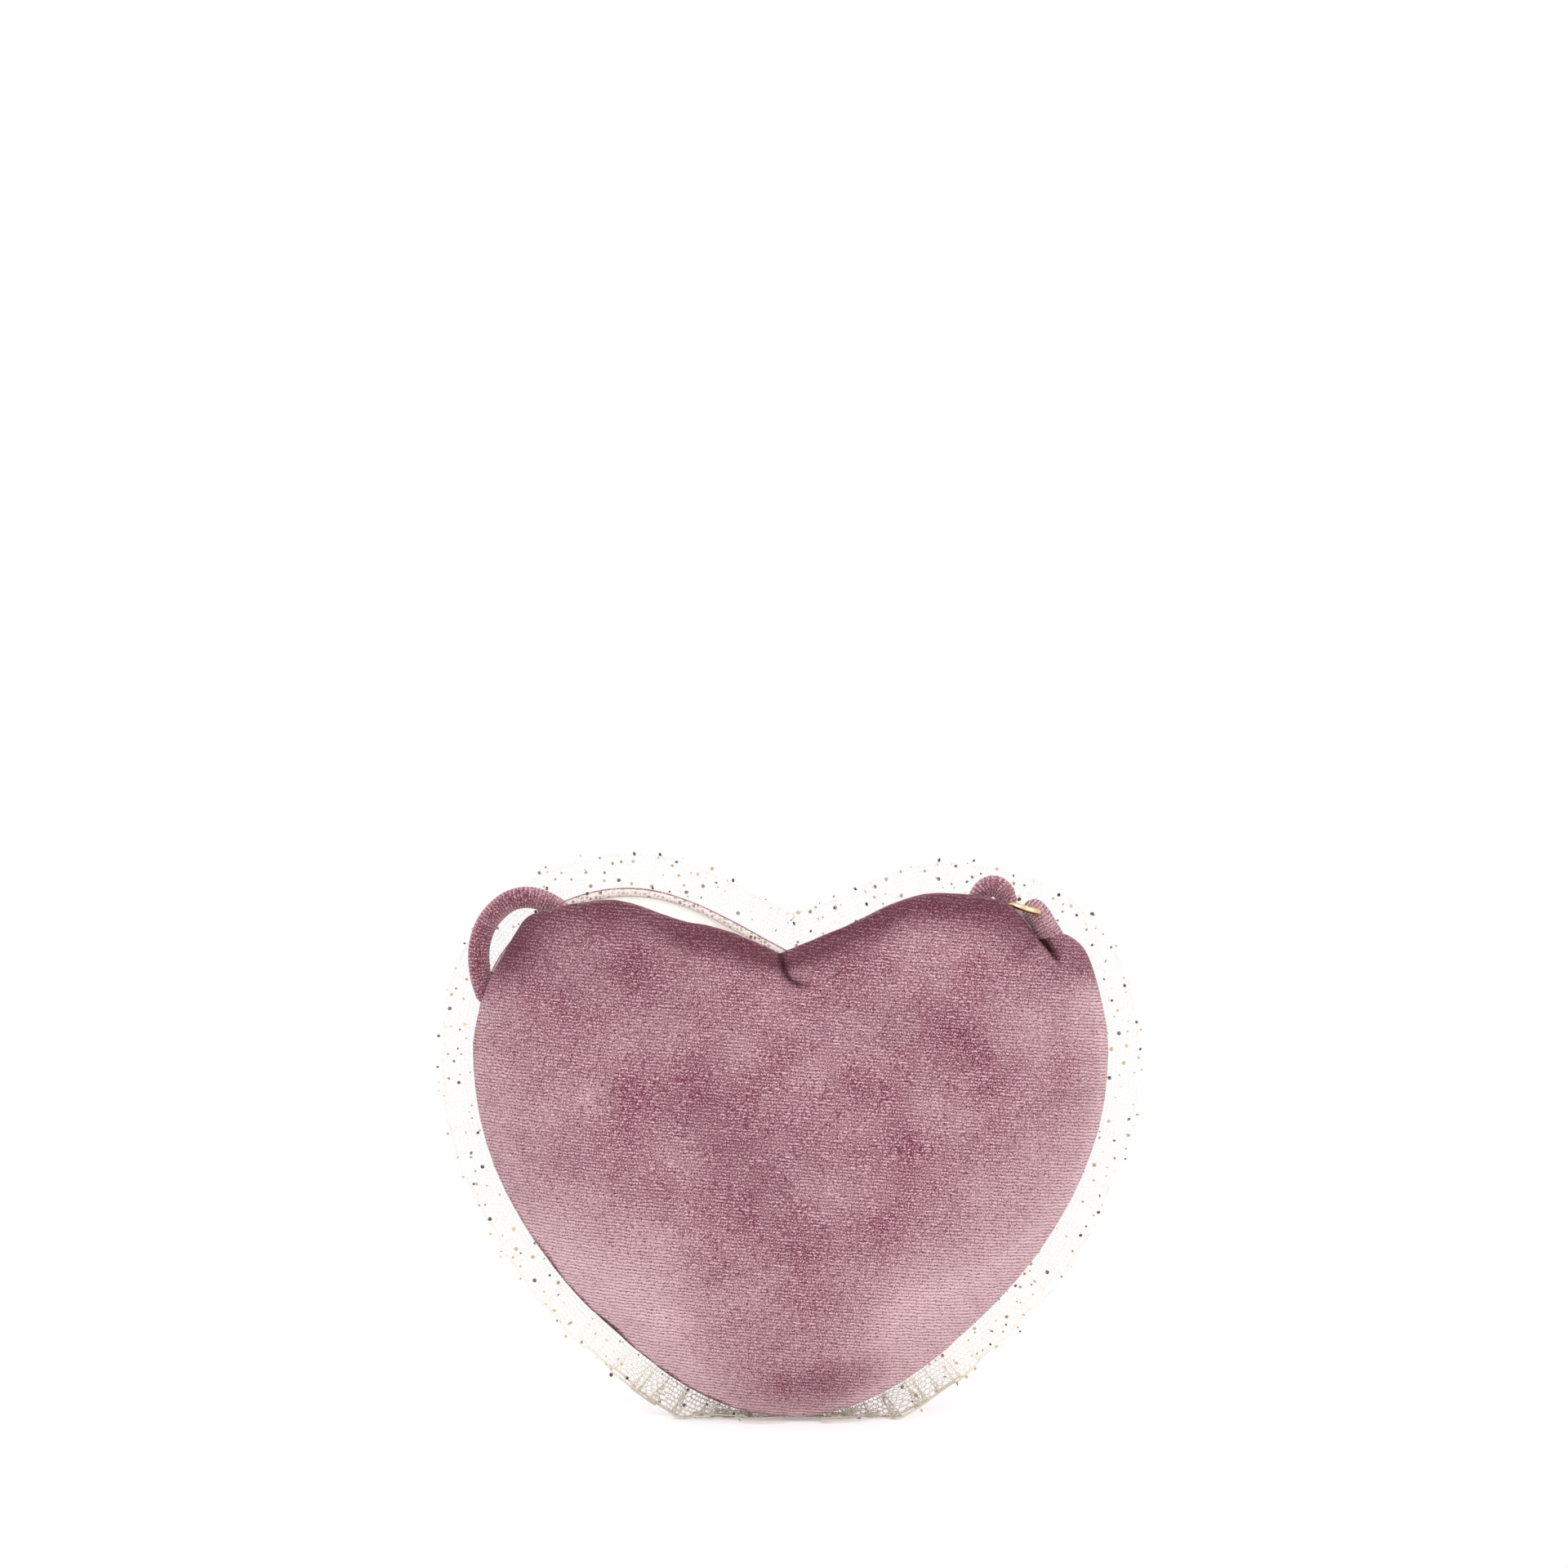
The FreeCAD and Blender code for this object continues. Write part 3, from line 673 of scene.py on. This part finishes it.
def wrapped(values, rows, columns):
    """Spreads a coarse grid that closes round the outline over a finer one."""
    down = np.linspace(0, len(values) - 1, rows)
    low = np.minimum(down.astype(int), len(values) - 2)
    part = (down - low)[:, None, None]
    tall = values[low] * (1 - part) + values[low + 1] * part
    around = np.arange(columns) * values.shape[1] / columns
    left = around.astype(int)
    part = (around - left)[None, :, None]
    return tall[:, left] * (1 - part) + tall[:, (left + 1) % values.shape[1]] * part


# Grid and frames of the cloth that settles, and how far it may move
settling_rows = 44
settling_step = 4
settling_frames = 20
settling_reach = 1.6


def settled(rows, side):
    """Lets the outer face of a panel swell and gather as cloth that is sewn down at its edge."""
    coarse = rows[np.linspace(0, len(rows) - 1, settling_rows).astype(int), ::settling_step]
    count, columns = coarse.shape[:2]
    points = np.concatenate((coarse.reshape(-1, 3), coarse[:1].mean(1)))
    faces = grid_faces(count, columns)
    faces += [(count * columns, (column + 1) % columns, column) for column in range(columns)]
    cloth_piece = piece_of("settling_cloth", points, faces, panel_velvet)
    sewn = cloth_piece.vertex_groups.new(name="sewn")
    sewn.add(list(range((count - 2) * columns, count * columns)), 1.0, "REPLACE")
    cloth = cloth_piece.modifiers.new("cloth", "CLOTH")
    cloth.settings.vertex_group_mass = "sewn"
    cloth.settings.quality = 6
    cloth.settings.mass = 0.2
    cloth.settings.tension_stiffness = 14.0
    cloth.settings.compression_stiffness = 14.0
    cloth.settings.shear_stiffness = 6.0
    cloth.settings.bending_stiffness = 0.35
    cloth.settings.shrink_min = -0.008
    cloth.settings.use_pressure = True
    cloth.settings.uniform_pressure_force = 3.0 * side
    cloth.settings.effector_weights.gravity = 0.0
    for step in range(1, settling_frames + 1):
        scene.frame_set(step)
    done = cloth_piece.evaluated_get(bpy.context.evaluated_depsgraph_get()).to_mesh()
    places = np.zeros(len(points) * 3)
    done.vertices.foreach_get("co", places)
    moved = places.reshape(-1, 3)[:-1].reshape(coarse.shape) / MM - coarse
    bpy.data.objects.remove(cloth_piece)
    scene.frame_set(1)
    far = np.linalg.norm(moved, axis=2, keepdims=True)
    held = moved * np.minimum(1.0, settling_reach / np.maximum(far, 1e-6))
    return rows + wrapped(held, len(rows), rows.shape[1])


def padded_panel(name, outline, side, rim_y, front, seed):
    """Padded velvet panel with a rolled edge."""
    profile = pad_profile(panel_rows)
    rows = puckered(shell_points(outline, profile, side, rim_y), profile, side, seed)
    depths = (dome_depth, dome_depth - pad_thickness)
    poles = np.array([(0.0, rim_y + side * depth, crown_z) for depth in depths])
    share = np.array([row[0] for row in profile])[:, None] * np.ones(rows.shape[1])
    if front:
        rows, poles = creased_front(bow_open(rows)), bow_open(poles)
    rows[:panel_rows] = settled(rows[:panel_rows], side)
    poles[:, 1] = rows[0, :, 1].mean(), rows[-1, :, 1].mean()
    piece = closed_shell(name, rows, poles, panel_velvet)
    pile_and_painted_light = panel_pile_and_painted_light(rows, share, 1.05 if front else 0.15)
    if front:
        # Painted shadow inside the tuck and the crease
        pile_and_painted_light = pile_and_painted_light + 1.7 * painted_crease_shade(rows)
    set_pile_and_painted_light(piece, np.concatenate((pile_and_painted_light.ravel(), (0.0, 0.0))))
    return piece


panel_columns = 520
panel_rows = 86
lining_rows = 44
front_outline = unbowed_outline(heart_outline(right_half, left_half, panel_columns))
back_outline = heart_outline(back_right_half, back_left_half, panel_columns)
front_panel = padded_panel("front_panel", front_outline, -1.0, front_rim_y, True, 11)
back_panel = padded_panel("back_panel", back_outline, 1.0, back_rim_y, False, 23)


def lining_piece(name, outline, side, rim_y, front):
    """Thin lining that follows the inside of a panel."""
    deep = dome_depth - pad_thickness - 0.2
    shallow = deep - lining_thickness
    shares = dome_rows(lining_rows)
    outer = [(share, 2.9, 0.5 + (deep - 0.5) * dome_height(share)) for share in shares]
    inner = [(share, 3.6, 0.4 + (shallow - 0.4) * dome_height(share)) for share in shares[::-1]]
    rows = shell_points(outline[::2], outer + [(1.0, 3.2, 0.35)] + inner, side, rim_y)
    rows[..., 1] += 0.1 * side * waves(rows[..., 0], rows[..., 2], 17.0, 5)
    poles = np.array([(0.0, rim_y + side * depth, crown_z) for depth in (deep, shallow)])
    if front:
        rows, poles = creased_lining(bow_open(rows)), bow_open(poles)
    else:
        beside_notch = smooth_share((np.abs(rows[..., 0]) - 12.0) / 12.0)
        hang = smooth_share((rows[..., 2] - hinge_z) / 22.0) * beside_notch
        rows[..., 1] = rim_y + (rows[..., 1] - rim_y) * (1.0 - 0.92 * hang)
    return closed_shell(name, rows, poles, cream_lining)


front_lining = lining_piece("front_lining_cloth", front_outline, -1.0, front_rim_y, True)
back_lining = lining_piece("back_lining_cloth", back_outline, 1.0, back_rim_y, False)


def seam_tape():
    """Tape in the seam that the ruffle is gathered on, covered by the turned-in net."""
    section = [(0.5, 0.32), (0.4, 0.5), (0.5, 0.68), (1.6, 0.74),
               (2.7, 0.68), (2.8, 0.5), (2.7, 0.32), (1.6, 0.26)]
    profile = [(1.0, inset, depth) for inset, depth in section]
    return closed_band("seam_tape", shell_points(back_outline[::2], profile, 1.0, 0.35), netted_tape)


tape = seam_tape()


# Strap, its tie, the ring's tab and the strap's end in the ring
def coil_point(turn):
    """Middle of the strap after some turns: in on the back layer, out again on the front one."""
    middle_turn = coil_turns / 2
    angle = math.pi * (1 + 2 * turn)
    radius = coil_radius - coil_pitch * (middle_turn - abs(turn - middle_turn))
    climb = min(max((turn - middle_turn) * 2 + 0.5, 0.0), 1.0)
    y = coil_back_y - coil_layer_step * climb * climb * (3 - 2 * climb)
    return (radius * math.cos(angle), y, coil_z + radius * math.sin(angle))


def strap_route():
    """Control points of the strap: sewn end, loop, way into the mouth, coil, and way out to the ring."""
    per_turn = 16
    coil = [coil_point(step / per_turn) for step in range(int(coil_turns * per_turn) + 1)]
    loop = [(-84.4, -1.9, 117.0), (-86.4, -2.3, 122.3), (-87.4, -2.8, 128.0), (-87.2, -3.0, 134.2),
            (-84.6, -3.1, 140.9), (-78.2, -3.2, 146.5), (-70.4, -3.3, 146.8), (-62.5, -3.3, 141.8),
            (-55.5, -2.1, 130.5)]
    way_in = [(-48.5, 0.9, 114.0), (-41.5, 5.0, 98.0), (-37.6, 7.6, 84.0), (-37.2, 7.8, 72.0)]
    way_out = [(37.2, 1.2, 72.0), (37.6, 1.0, 84.0), (39.5, -0.4, 103.0), (42.5, -2.2, 121.0)]
    arch = [(48.5, -3.2, 134.5), (51.8, -3.8, 144.4), (54.2, -4.4, 149.6), (58.8, -5.2, 150.2),
            (61.4, ring_y, 145.4)]
    return loop + way_in + coil + way_out + arch


def smooth_line(name, route):
    """Points along the NURBS curve that a route of control points gives, in millimetres."""
    curve = bpy.data.curves.new(name, "CURVE")
    curve.dimensions = "3D"
    curve.resolution_u = 8
    spline = curve.splines.new("NURBS")
    spline.points.add(len(route) - 1)
    for point, place in zip(spline.points, route):
        point.co = (*(value * MM for value in place), 1.0)
    spline.order_u = 3
    spline.use_endpoint_u = True
    holder = bpy.data.objects.new(name, curve)
    scene.collection.objects.link(holder)
    bpy.context.view_layer.update()
    line = bpy.data.meshes.new_from_object(holder.evaluated_get(bpy.context.evaluated_depsgraph_get()))
    points = np.array([vertex.co for vertex in line.vertices]) / MM
    bpy.data.objects.remove(holder)
    return points


def tube_along(name, line, radius, sides, material, flatness=1.0):
    """Soft round tube along a line, with its length in millimetres as its UV."""
    runs = np.diff(line, axis=0)
    reach = np.concatenate(([0.0], np.cumsum(np.linalg.norm(runs, axis=1))))
    headings = np.gradient(line, reach, axis=0)
    headings /= np.linalg.norm(headings, axis=1)[:, None]
    up = np.cross(headings[0], (0.0, 1.0, 0.0))
    rows = []
    turns = np.linspace(0, math.tau, sides, endpoint=False)
    for centre, heading, run in zip(line, headings, reach):
        up = up - heading * (up @ heading)
        up /= np.linalg.norm(up)
        beside = np.cross(heading, up)
        near_end = min(run, reach[-1] - run)
        size = radius * math.sqrt(max(1 - (1 - min(near_end / radius, 1.0)) ** 2, 0.04))
        section = np.cos(turns)[:, None] * up + flatness * np.sin(turns)[:, None] * beside
        rows.append(centre + size * section)
    points = np.array(rows)
    piece = closed_shell(name, points, (line[0], line[-1]), material)
    # Painted shade on the face of the tube that looks forward, painted sheen on its edges and back
    front = np.clip((line[:, None] - points)[..., 1] / radius, 0.0, 1.0) ** 2
    set_pile_and_painted_light(piece, np.concatenate((1.1 * front.ravel() - 0.55, (0.0, 0.0))))
    lengths = np.concatenate((np.repeat(reach, sides), reach[[0, -1]]))
    uv = piece.data.uv_layers.new(name="UVMap")
    corners = np.zeros(len(piece.data.loops), int)
    piece.data.loops.foreach_get("vertex_index", corners)
    places = np.column_stack((lengths[corners], np.zeros(len(corners))))
    uv.data.foreach_set("uv", places.ravel())
    return piece


strap_line = smooth_line("strap_line", strap_route())
strap = tube_along("strap", strap_line, strap_diameter / 2, 18, cord_velvet)

tie_half_width = 3.0
tie_half_thickness = 0.4
tie_columns = 72


def coil_tie():
    """Cloth band with rounded edges round the strands at the top of the coil."""
    strands = np.array([coil_point(0.75 + turn) for turn in range(int(coil_turns))])
    room = strap_diameter / 2 + 0.3 + tie_half_thickness
    low, high = strands.min(0) - room, strands.max(0) + room
    middle, half = (low + high) / 2, (high - low) / 2
    turns = np.linspace(0, math.tau, tie_columns, endpoint=False)
    squared = [np.sign(part) * np.abs(part) ** 0.28 for part in (np.cos(turns), np.sin(turns))]
    x = np.zeros(tie_columns)
    centres = np.column_stack((x, middle[1] + half[1] * squared[0], middle[2] + half[2] * squared[1]))
    outwards = np.column_stack((x, np.cos(turns), np.sin(turns)))
    across = np.array((1.0, 0.0, 0.0))
    section = [(-1.0, 0.0), (-0.94, 0.8), (-0.5, 1.0), (0.5, 1.0), (0.94, 0.8), (1.0, 0.0),
               (0.94, -0.8), (0.5, -1.0), (-0.5, -1.0), (-0.94, -0.8)]
    rows = [centres + across * (wide * tie_half_width) + outwards * (thick * tie_half_thickness)
            for wide, thick in section]
    return closed_band("coil_tie", np.array(rows), ivory_tape)


tie = coil_tie()
ring_tab_line = smooth_line("ring_tab_line", [(74.6, -2.4, 131.5), (73.6, -2.8, 134.8), (71.2, -3.8, 138.4),
                                              (69.0, ring_y + 0.9, 142.4), (65.6, ring_y + 1.2, 145.0)])
ring_tab = tube_along("ring_tab_velvet", ring_tab_line, 3.5, 20, cord_velvet, flatness=0.55)
strap_end_line = smooth_line("strap_end_line", [(59.4, ring_y, 148.2), (60.8, ring_y, 146.2),
                                                (61.6, ring_y, 143.8)])
strap_end = tube_along("strap_end_velvet", strap_end_line, 2.7, 18, cord_velvet)

# Net ruffle: real hexagonal mesh on a strip gathered in two layers, each with its own folds
net_cell = 1.4
net_width = 13.0
net_inset = 2.2
net_fullness = 1.5
ruffle_columns = 800
seam_y = 0.75

# Each layer's place in the seam, lean, length of a fold, and spread on the floor
layer_seam = (0.1, 0.35)
layer_lean = (0.3, 1.6)
layer_fold = (17.5, 13.0)
layer_foot = (-0.85, 0.85)

# Threads, hem, and flakes by tone, spacing, seed and finish
thread_radius = 0.06
foot_thickness = 2.2
hem_lines = 3
hem_step = 0.16
glitter_columns = 260
glitter_rows = 14
flake_radius = 0.55
flake_tones = (("grey", 4.2, 3, grey_glitter), ("gold", 3.2, 8, gold_glitter))
ruffle_outline = heart_outline(back_right_half, back_left_half, ruffle_columns)


def outline_frame(outline):
    """Length along a closed outline, and its points and outward directions, softened at the corners."""
    steps = np.hypot(*(np.roll(outline, -1, 0) - outline).T)
    reach = np.concatenate(([0.0], np.cumsum(steps)))
    run = np.roll(outline, -14, 0) - np.roll(outline, 14, 0)
    outward = np.column_stack((run[:, 1], -run[:, 0]))
    kernel = np.ones(25) / 25
    padded = np.concatenate((outward[-12:], outward, outward[:12]))
    outward = np.column_stack([np.convolve(padded[:, axis], kernel, "valid") for axis in (0, 1)])
    outward /= np.hypot(*outward.T)[:, None]
    return reach, np.concatenate((outline, outline[:1])), np.concatenate((outward, outward[:1]))


ruffle_reach, ruffle_base, ruffle_out = outline_frame(ruffle_outline)


def ruffle_points(along, width, layer):
    """Places on the gathered net: along its foot in millimetres, and across it from the seam outwards."""
    base = np.column_stack([np.interp(along, ruffle_reach, ruffle_base[:, axis]) for axis in (0, 1)])
    out = np.column_stack([np.interp(along, ruffle_reach, ruffle_out[:, axis]) for axis in (0, 1)])
    out /= np.hypot(*out.T)[:, None]
    share = width / net_width
    phase = along * math.tau / layer_fold[layer] + 1.6 * waves(along, along * 0, 95.0, 31 + layer)
    flare = (0.22 + 2.6 * share ** 1.1) * (1.0 + 0.35 * waves(along, width * 3, 48.0, 41 + layer))
    reach = width * (1.0 + 0.11 * waves(along, width, 37.0, 51 + layer) * share) - net_inset
    crushed = smooth_share((24.0 - base[:, 1]) / 14.0)
    sway = (1.3 + 2.2 * crushed) * share * np.cos(phase * 2.0 + 0.8)
    y = seam_y + layer_seam[layer] + flare * np.sin(phase) + layer_lean[layer] * share
    x = base[:, 0] + out[:, 0] * reach - out[:, 1] * sway
    z = base[:, 1] + out[:, 1] * reach + out[:, 0] * sway
    under = np.maximum(0.35 - z, 0.0)
    crumple = 0.8 * (1 + waves(along, width * 2, 15.0, 61 + layer)) * smooth_share(under / 3.0)
    z = np.where(under > 0, 0.3 + crumple + 0.02 * under, z)
    y = y + layer_foot[layer] * under
    return np.column_stack((x, y, z))


def net_threads(start, end, layer):
    """Points and edges of a hexagonal net between two lengths along the foot."""
    side = net_cell / math.sqrt(3)
    rows = int(net_width / (1.5 * side))
    columns = int((end - start) * net_fullness / (net_cell / 2))
    row, column = np.meshgrid(np.arange(rows), np.arange(columns), indexing="ij")
    raised = (row + column) % 2
    width = row * 1.5 * side + raised * side / 2
    along = start + column * net_cell / 2 / net_fullness
    points = ruffle_points(along.ravel(), width.ravel(), layer)
    number = row * columns + column
    edges = np.column_stack((number[:, :-1].ravel(), number[:, 1:].ravel())).tolist()
    rising = raised[:-1] == 1
    edges += np.column_stack((number[:-1][rising], number[1:][rising])).tolist()
    hem_along = np.linspace(start, end, columns // 2)
    hem_width = ((rows - 1) * 1.5 + 0.5) * side
    for step in range(hem_lines):
        first = len(points)
        hem = ruffle_points(hem_along, np.full(columns // 2, hem_width + hem_step * step), layer)
        points = np.concatenate((points, hem))
        edges += [(place, place + 1) for place in range(first, len(points) - 1)]
    return points, edges


def finish_tree(tree, geometry, given, put):
    """Ends a tree with real geometry in its material."""
    real = node(tree, "GeometryNodeRealizeInstances", {0: geometry}).outputs[0]
    values = {"Geometry": real, "Material": given["Material"]}
    done = node(tree, "GeometryNodeSetMaterial", values).outputs[0]
    tree.links.new(done, put["Geometry"])
    return tree


def thread_tree():
    """Gives each edge of a mesh the thickness of a thread, stouter where the net is crushed."""
    tree, given, put = new_tree("net threads", "GeometryNodeTree",
                                {"Geometry": "Geometry", "Thread Radius": "Float",
                                 "Foot Thickness": "Float", "Material": "Material"},
                                {"Geometry": "Geometry"})
    lines = node(tree, "GeometryNodeMeshToCurve", {"Mesh": given["Geometry"]}).outputs[0]
    section = node(tree, "GeometryNodeCurvePrimitiveCircle",
                   {"Resolution": 3, "Radius": given["Thread Radius"]}).outputs[0]
    height = parts_of(tree, node(tree, "GeometryNodeInputPosition").outputs[0])[2]
    stout = ranged(tree, height, crushed_z * MM, free_z * MM, given["Foot Thickness"], 1.0)
    threads = node(tree, "GeometryNodeCurveToMesh",
                   {"Curve": lines, "Profile Curve": section, "Scale": stout}).outputs[0]
    return finish_tree(tree, threads, given, put)


def flake_tree():
    """Scatters small hexagonal flakes over a surface."""
    tree, given, put = new_tree("glitter flakes", "GeometryNodeTree",
                                {"Geometry": "Geometry", "Spacing": "Float", "Flake Radius": "Float",
                                 "Seed": "Int", "Material": "Material"},
                                {"Geometry": "Geometry"})
    seed = given["Seed"]
    spread = node(tree, "GeometryNodeDistributePointsOnFaces",
                  {"Mesh": given["Geometry"], "Distance Min": given["Spacing"], "Density Max": 250000.0,
                   "Density Factor": 0.62, "Seed": seed}, distribute_method="POISSON").outputs
    flake = node(tree, "GeometryNodeMeshCircle", {"Vertices": 6, "Radius": given["Flake Radius"]},
                 fill_type="TRIANGLE_FAN").outputs[0]
    size = node(tree, "FunctionNodeRandomValue", {2: 0.35, 3: 1.15, "Seed": seed},
                data_type="FLOAT").outputs[1]
    lean = node(tree, "FunctionNodeRandomValue", {0: (-0.5, -0.5, 0.0), 1: (0.5, 0.5, 6.28), "Seed": seed},
                data_type="FLOAT_VECTOR").outputs[0]
    turned = node(tree, "FunctionNodeRotateRotation", {"Rotation": spread["Rotation"], "Rotate By": lean},
                  rotation_space="LOCAL").outputs[0]
    flakes = node(tree, "GeometryNodeInstanceOnPoints",
                  {"Points": spread["Points"], "Instance": flake, "Rotation": turned,
                   "Scale": size}).outputs[0]
    return finish_tree(tree, flakes, given, put)


def grown(name, points, faces, edges, tree, values):
    """Plain mesh that a geometry tree makes from a mesh."""
    holder = piece_of(name + "_seed", points, faces, values["Material"], edges)
    modifier = holder.modifiers.new("growth", "NODES")
    modifier.node_group = tree
    for item in tree.interface.items_tree:
        if item.in_out == "INPUT" and item.name in values:
            modifier[item.identifier] = values[item.name]
    bpy.context.view_layer.update()
    mesh = bpy.data.meshes.new_from_object(holder.evaluated_get(bpy.context.evaluated_depsgraph_get()))
    mesh.name = name
    bpy.data.objects.remove(holder)
    piece = bpy.data.objects.new(name, mesh)
    scene.collection.objects.link(piece)
    return piece


thread_growth = thread_tree()
flake_growth = flake_tree()
ruffle_halves = {"right": (0.0, ruffle_reach[-1] / 2), "left": (ruffle_reach[-1] / 2, ruffle_reach[-1])}
ruffles = {}
glitter = {}
for half, (start, end) in ruffle_halves.items():
    points, edges = [], []
    for layer in (0, 1):
        threads, joins = net_threads(start, end, layer)
        edges += (np.array(joins) + sum(len(part) for part in points)).tolist()
        points.append(threads)
    ruffles[half] = grown("ruffle_" + half + "_net", np.concatenate(points), [], edges, thread_growth,
                          {"Thread Radius": thread_radius * MM, "Foot Thickness": foot_thickness,
                           "Material": net_thread})
    foot = np.linspace(start, end, glitter_columns)
    rise = np.linspace(0.5, net_width - 0.2, glitter_rows)
    along, width = np.meshgrid(foot, rise, indexing="ij")
    cloth = ruffle_points(along.ravel(), width.ravel(), 0)
    cloth_faces = grid_faces(glitter_columns, glitter_rows, closed_columns=False)
    glitter[half] = [grown("glitter_" + tone + "_" + half, cloth, cloth_faces, [], flake_growth,
                           {"Spacing": spacing * MM, "Flake Radius": flake_radius * MM, "Seed": seed,
                            "Material": finish})
                     for tone, spacing, seed, finish in flake_tones]

# Metal parts keep their solids
for name, finish in (("brass_ring", pale_brass), ("snap_socket", nickel), ("snap_stud", nickel),
                     ("snap_socket_washer", nickel), ("snap_stud_washer", nickel)):
    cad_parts[name].data.materials.clear()
    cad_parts[name].data.materials.append(finish)


# Studio: white world for the camera, pale floor that keeps the shadow, soft lamps
def seen_directly(tree):
    """1 on rays that see the background itself or mirror it."""
    rays = node(tree, "ShaderNodeLightPath").outputs
    seen = maths(tree, "MAXIMUM", rays["Is Camera Ray"], rays["Is Glossy Ray"])
    return maths(tree, "MAXIMUM", seen, rays["Is Transmission Ray"])


def floor_material():
    """Pale floor that shows as white away from the purse."""
    material, tree, shader, place = material_base("pale floor")
    tone = ranged(tree, noise(tree, place, 0.004, 2.0), 0.3, 0.7)
    seen = seen_directly(tree)
    fill_sockets(tree, shader, {
        "Base Color": mixed(tree, tone, (0.93, 0.93, 0.93), (0.95, 0.945, 0.95)),
        "Roughness": 0.9,
        "Specular IOR Level": 0.0,
        "Emission Color": (1.0, 0.99, 1.0, 1.0),
        "Emission Strength": maths(tree, "MULTIPLY", seen, 0.3),
    })
    parts = parts_of(tree, place)
    beside = maths(tree, "MAXIMUM", maths(tree, "SUBTRACT", maths(tree, "ABSOLUTE", parts[0]), 45.0), 0.0)
    away = maths(tree, "SQRT", maths(tree, "ADD", maths(tree, "MULTIPLY", beside, beside),
                                     maths(tree, "MULTIPLY", parts[1], parts[1])))
    white = node(tree, "ShaderNodeEmission", {"Color": (1.0, 1.0, 1.0, 1.0), "Strength": 1.0}).outputs[0]
    share = maths(tree, "MULTIPLY", ranged(tree, away, 12.0, 110.0), seen)
    shown = node(tree, "ShaderNodeMixShader", {0: share, 1: shader.outputs[0], 2: white}).outputs[0]
    tree.links.new(shown, tree.nodes["Material Output"].inputs["Surface"])
    return material


def studio():
    """World, floor and three lamps."""
    world = bpy.data.worlds.new("studio")
    world.use_nodes = True
    scene.world = world
    tree = world.node_tree
    strength = ranged(tree, seen_directly(tree), 0.0, 1.0, 0.68, 1.0)
    fill_sockets(tree, tree.nodes["Background"], {"Color": (1.0, 1.0, 1.0, 1.0), "Strength": strength})
    corners = [(-4000, -4000, 0), (4000, -4000, 0), (4000, 4000, 0), (-4000, 4000, 0)]
    floor = piece_of("floor", corners, [(0, 1, 2, 3)], floor_material())
    aim = Vector((0, 0, 0.08))
    for name, place, size, power in (("key", (-0.9, -1.5, 1.5), 1.3, 14.5),
                                     ("fill", (1.3, -1.3, 0.7), 1.4, 10.0),
                                     ("back", (-0.5, 1.6, 1.1), 1.2, 6.0)):
        lamp = bpy.data.lights.new(name, "AREA")
        lamp.size = size
        lamp.energy = power
        holder = bpy.data.objects.new(name, lamp)
        scene.collection.objects.link(holder)
        holder.location = place
        holder.rotation_euler = (aim - Vector(place)).to_track_quat("-Z", "Y").to_euler()


studio()

# What each piece stands for, and how it moves
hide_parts("front_velvet", "flap_velvet", "front_wadding", "flap_wadding")
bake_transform(front_panel)
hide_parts("back_velvet", "back_wadding")
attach(back_panel, "bag")
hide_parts("front_lining", "flap_lining")
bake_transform(front_lining)
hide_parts("back_lining")
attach(back_lining, "bag")
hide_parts("gather_tape")
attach(tape, "bag")
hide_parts("strap_left_lead", "strap_coil", "strap_right_lead", "strap_anchor")
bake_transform(strap)
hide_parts("strap_tie")
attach(tie, "bag")
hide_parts("ring_tab")
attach(ring_tab, "bag")
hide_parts("strap_end_loop")
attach(strap_end, "ring")
for half, nodes in (("right", ("ruffle_right", "ruffle_foot")), ("left", ("ruffle_left",))):
    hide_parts(*nodes)
    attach(ruffles[half], "bag")
    for flakes in glitter[half]:
        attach(flakes, "bag")
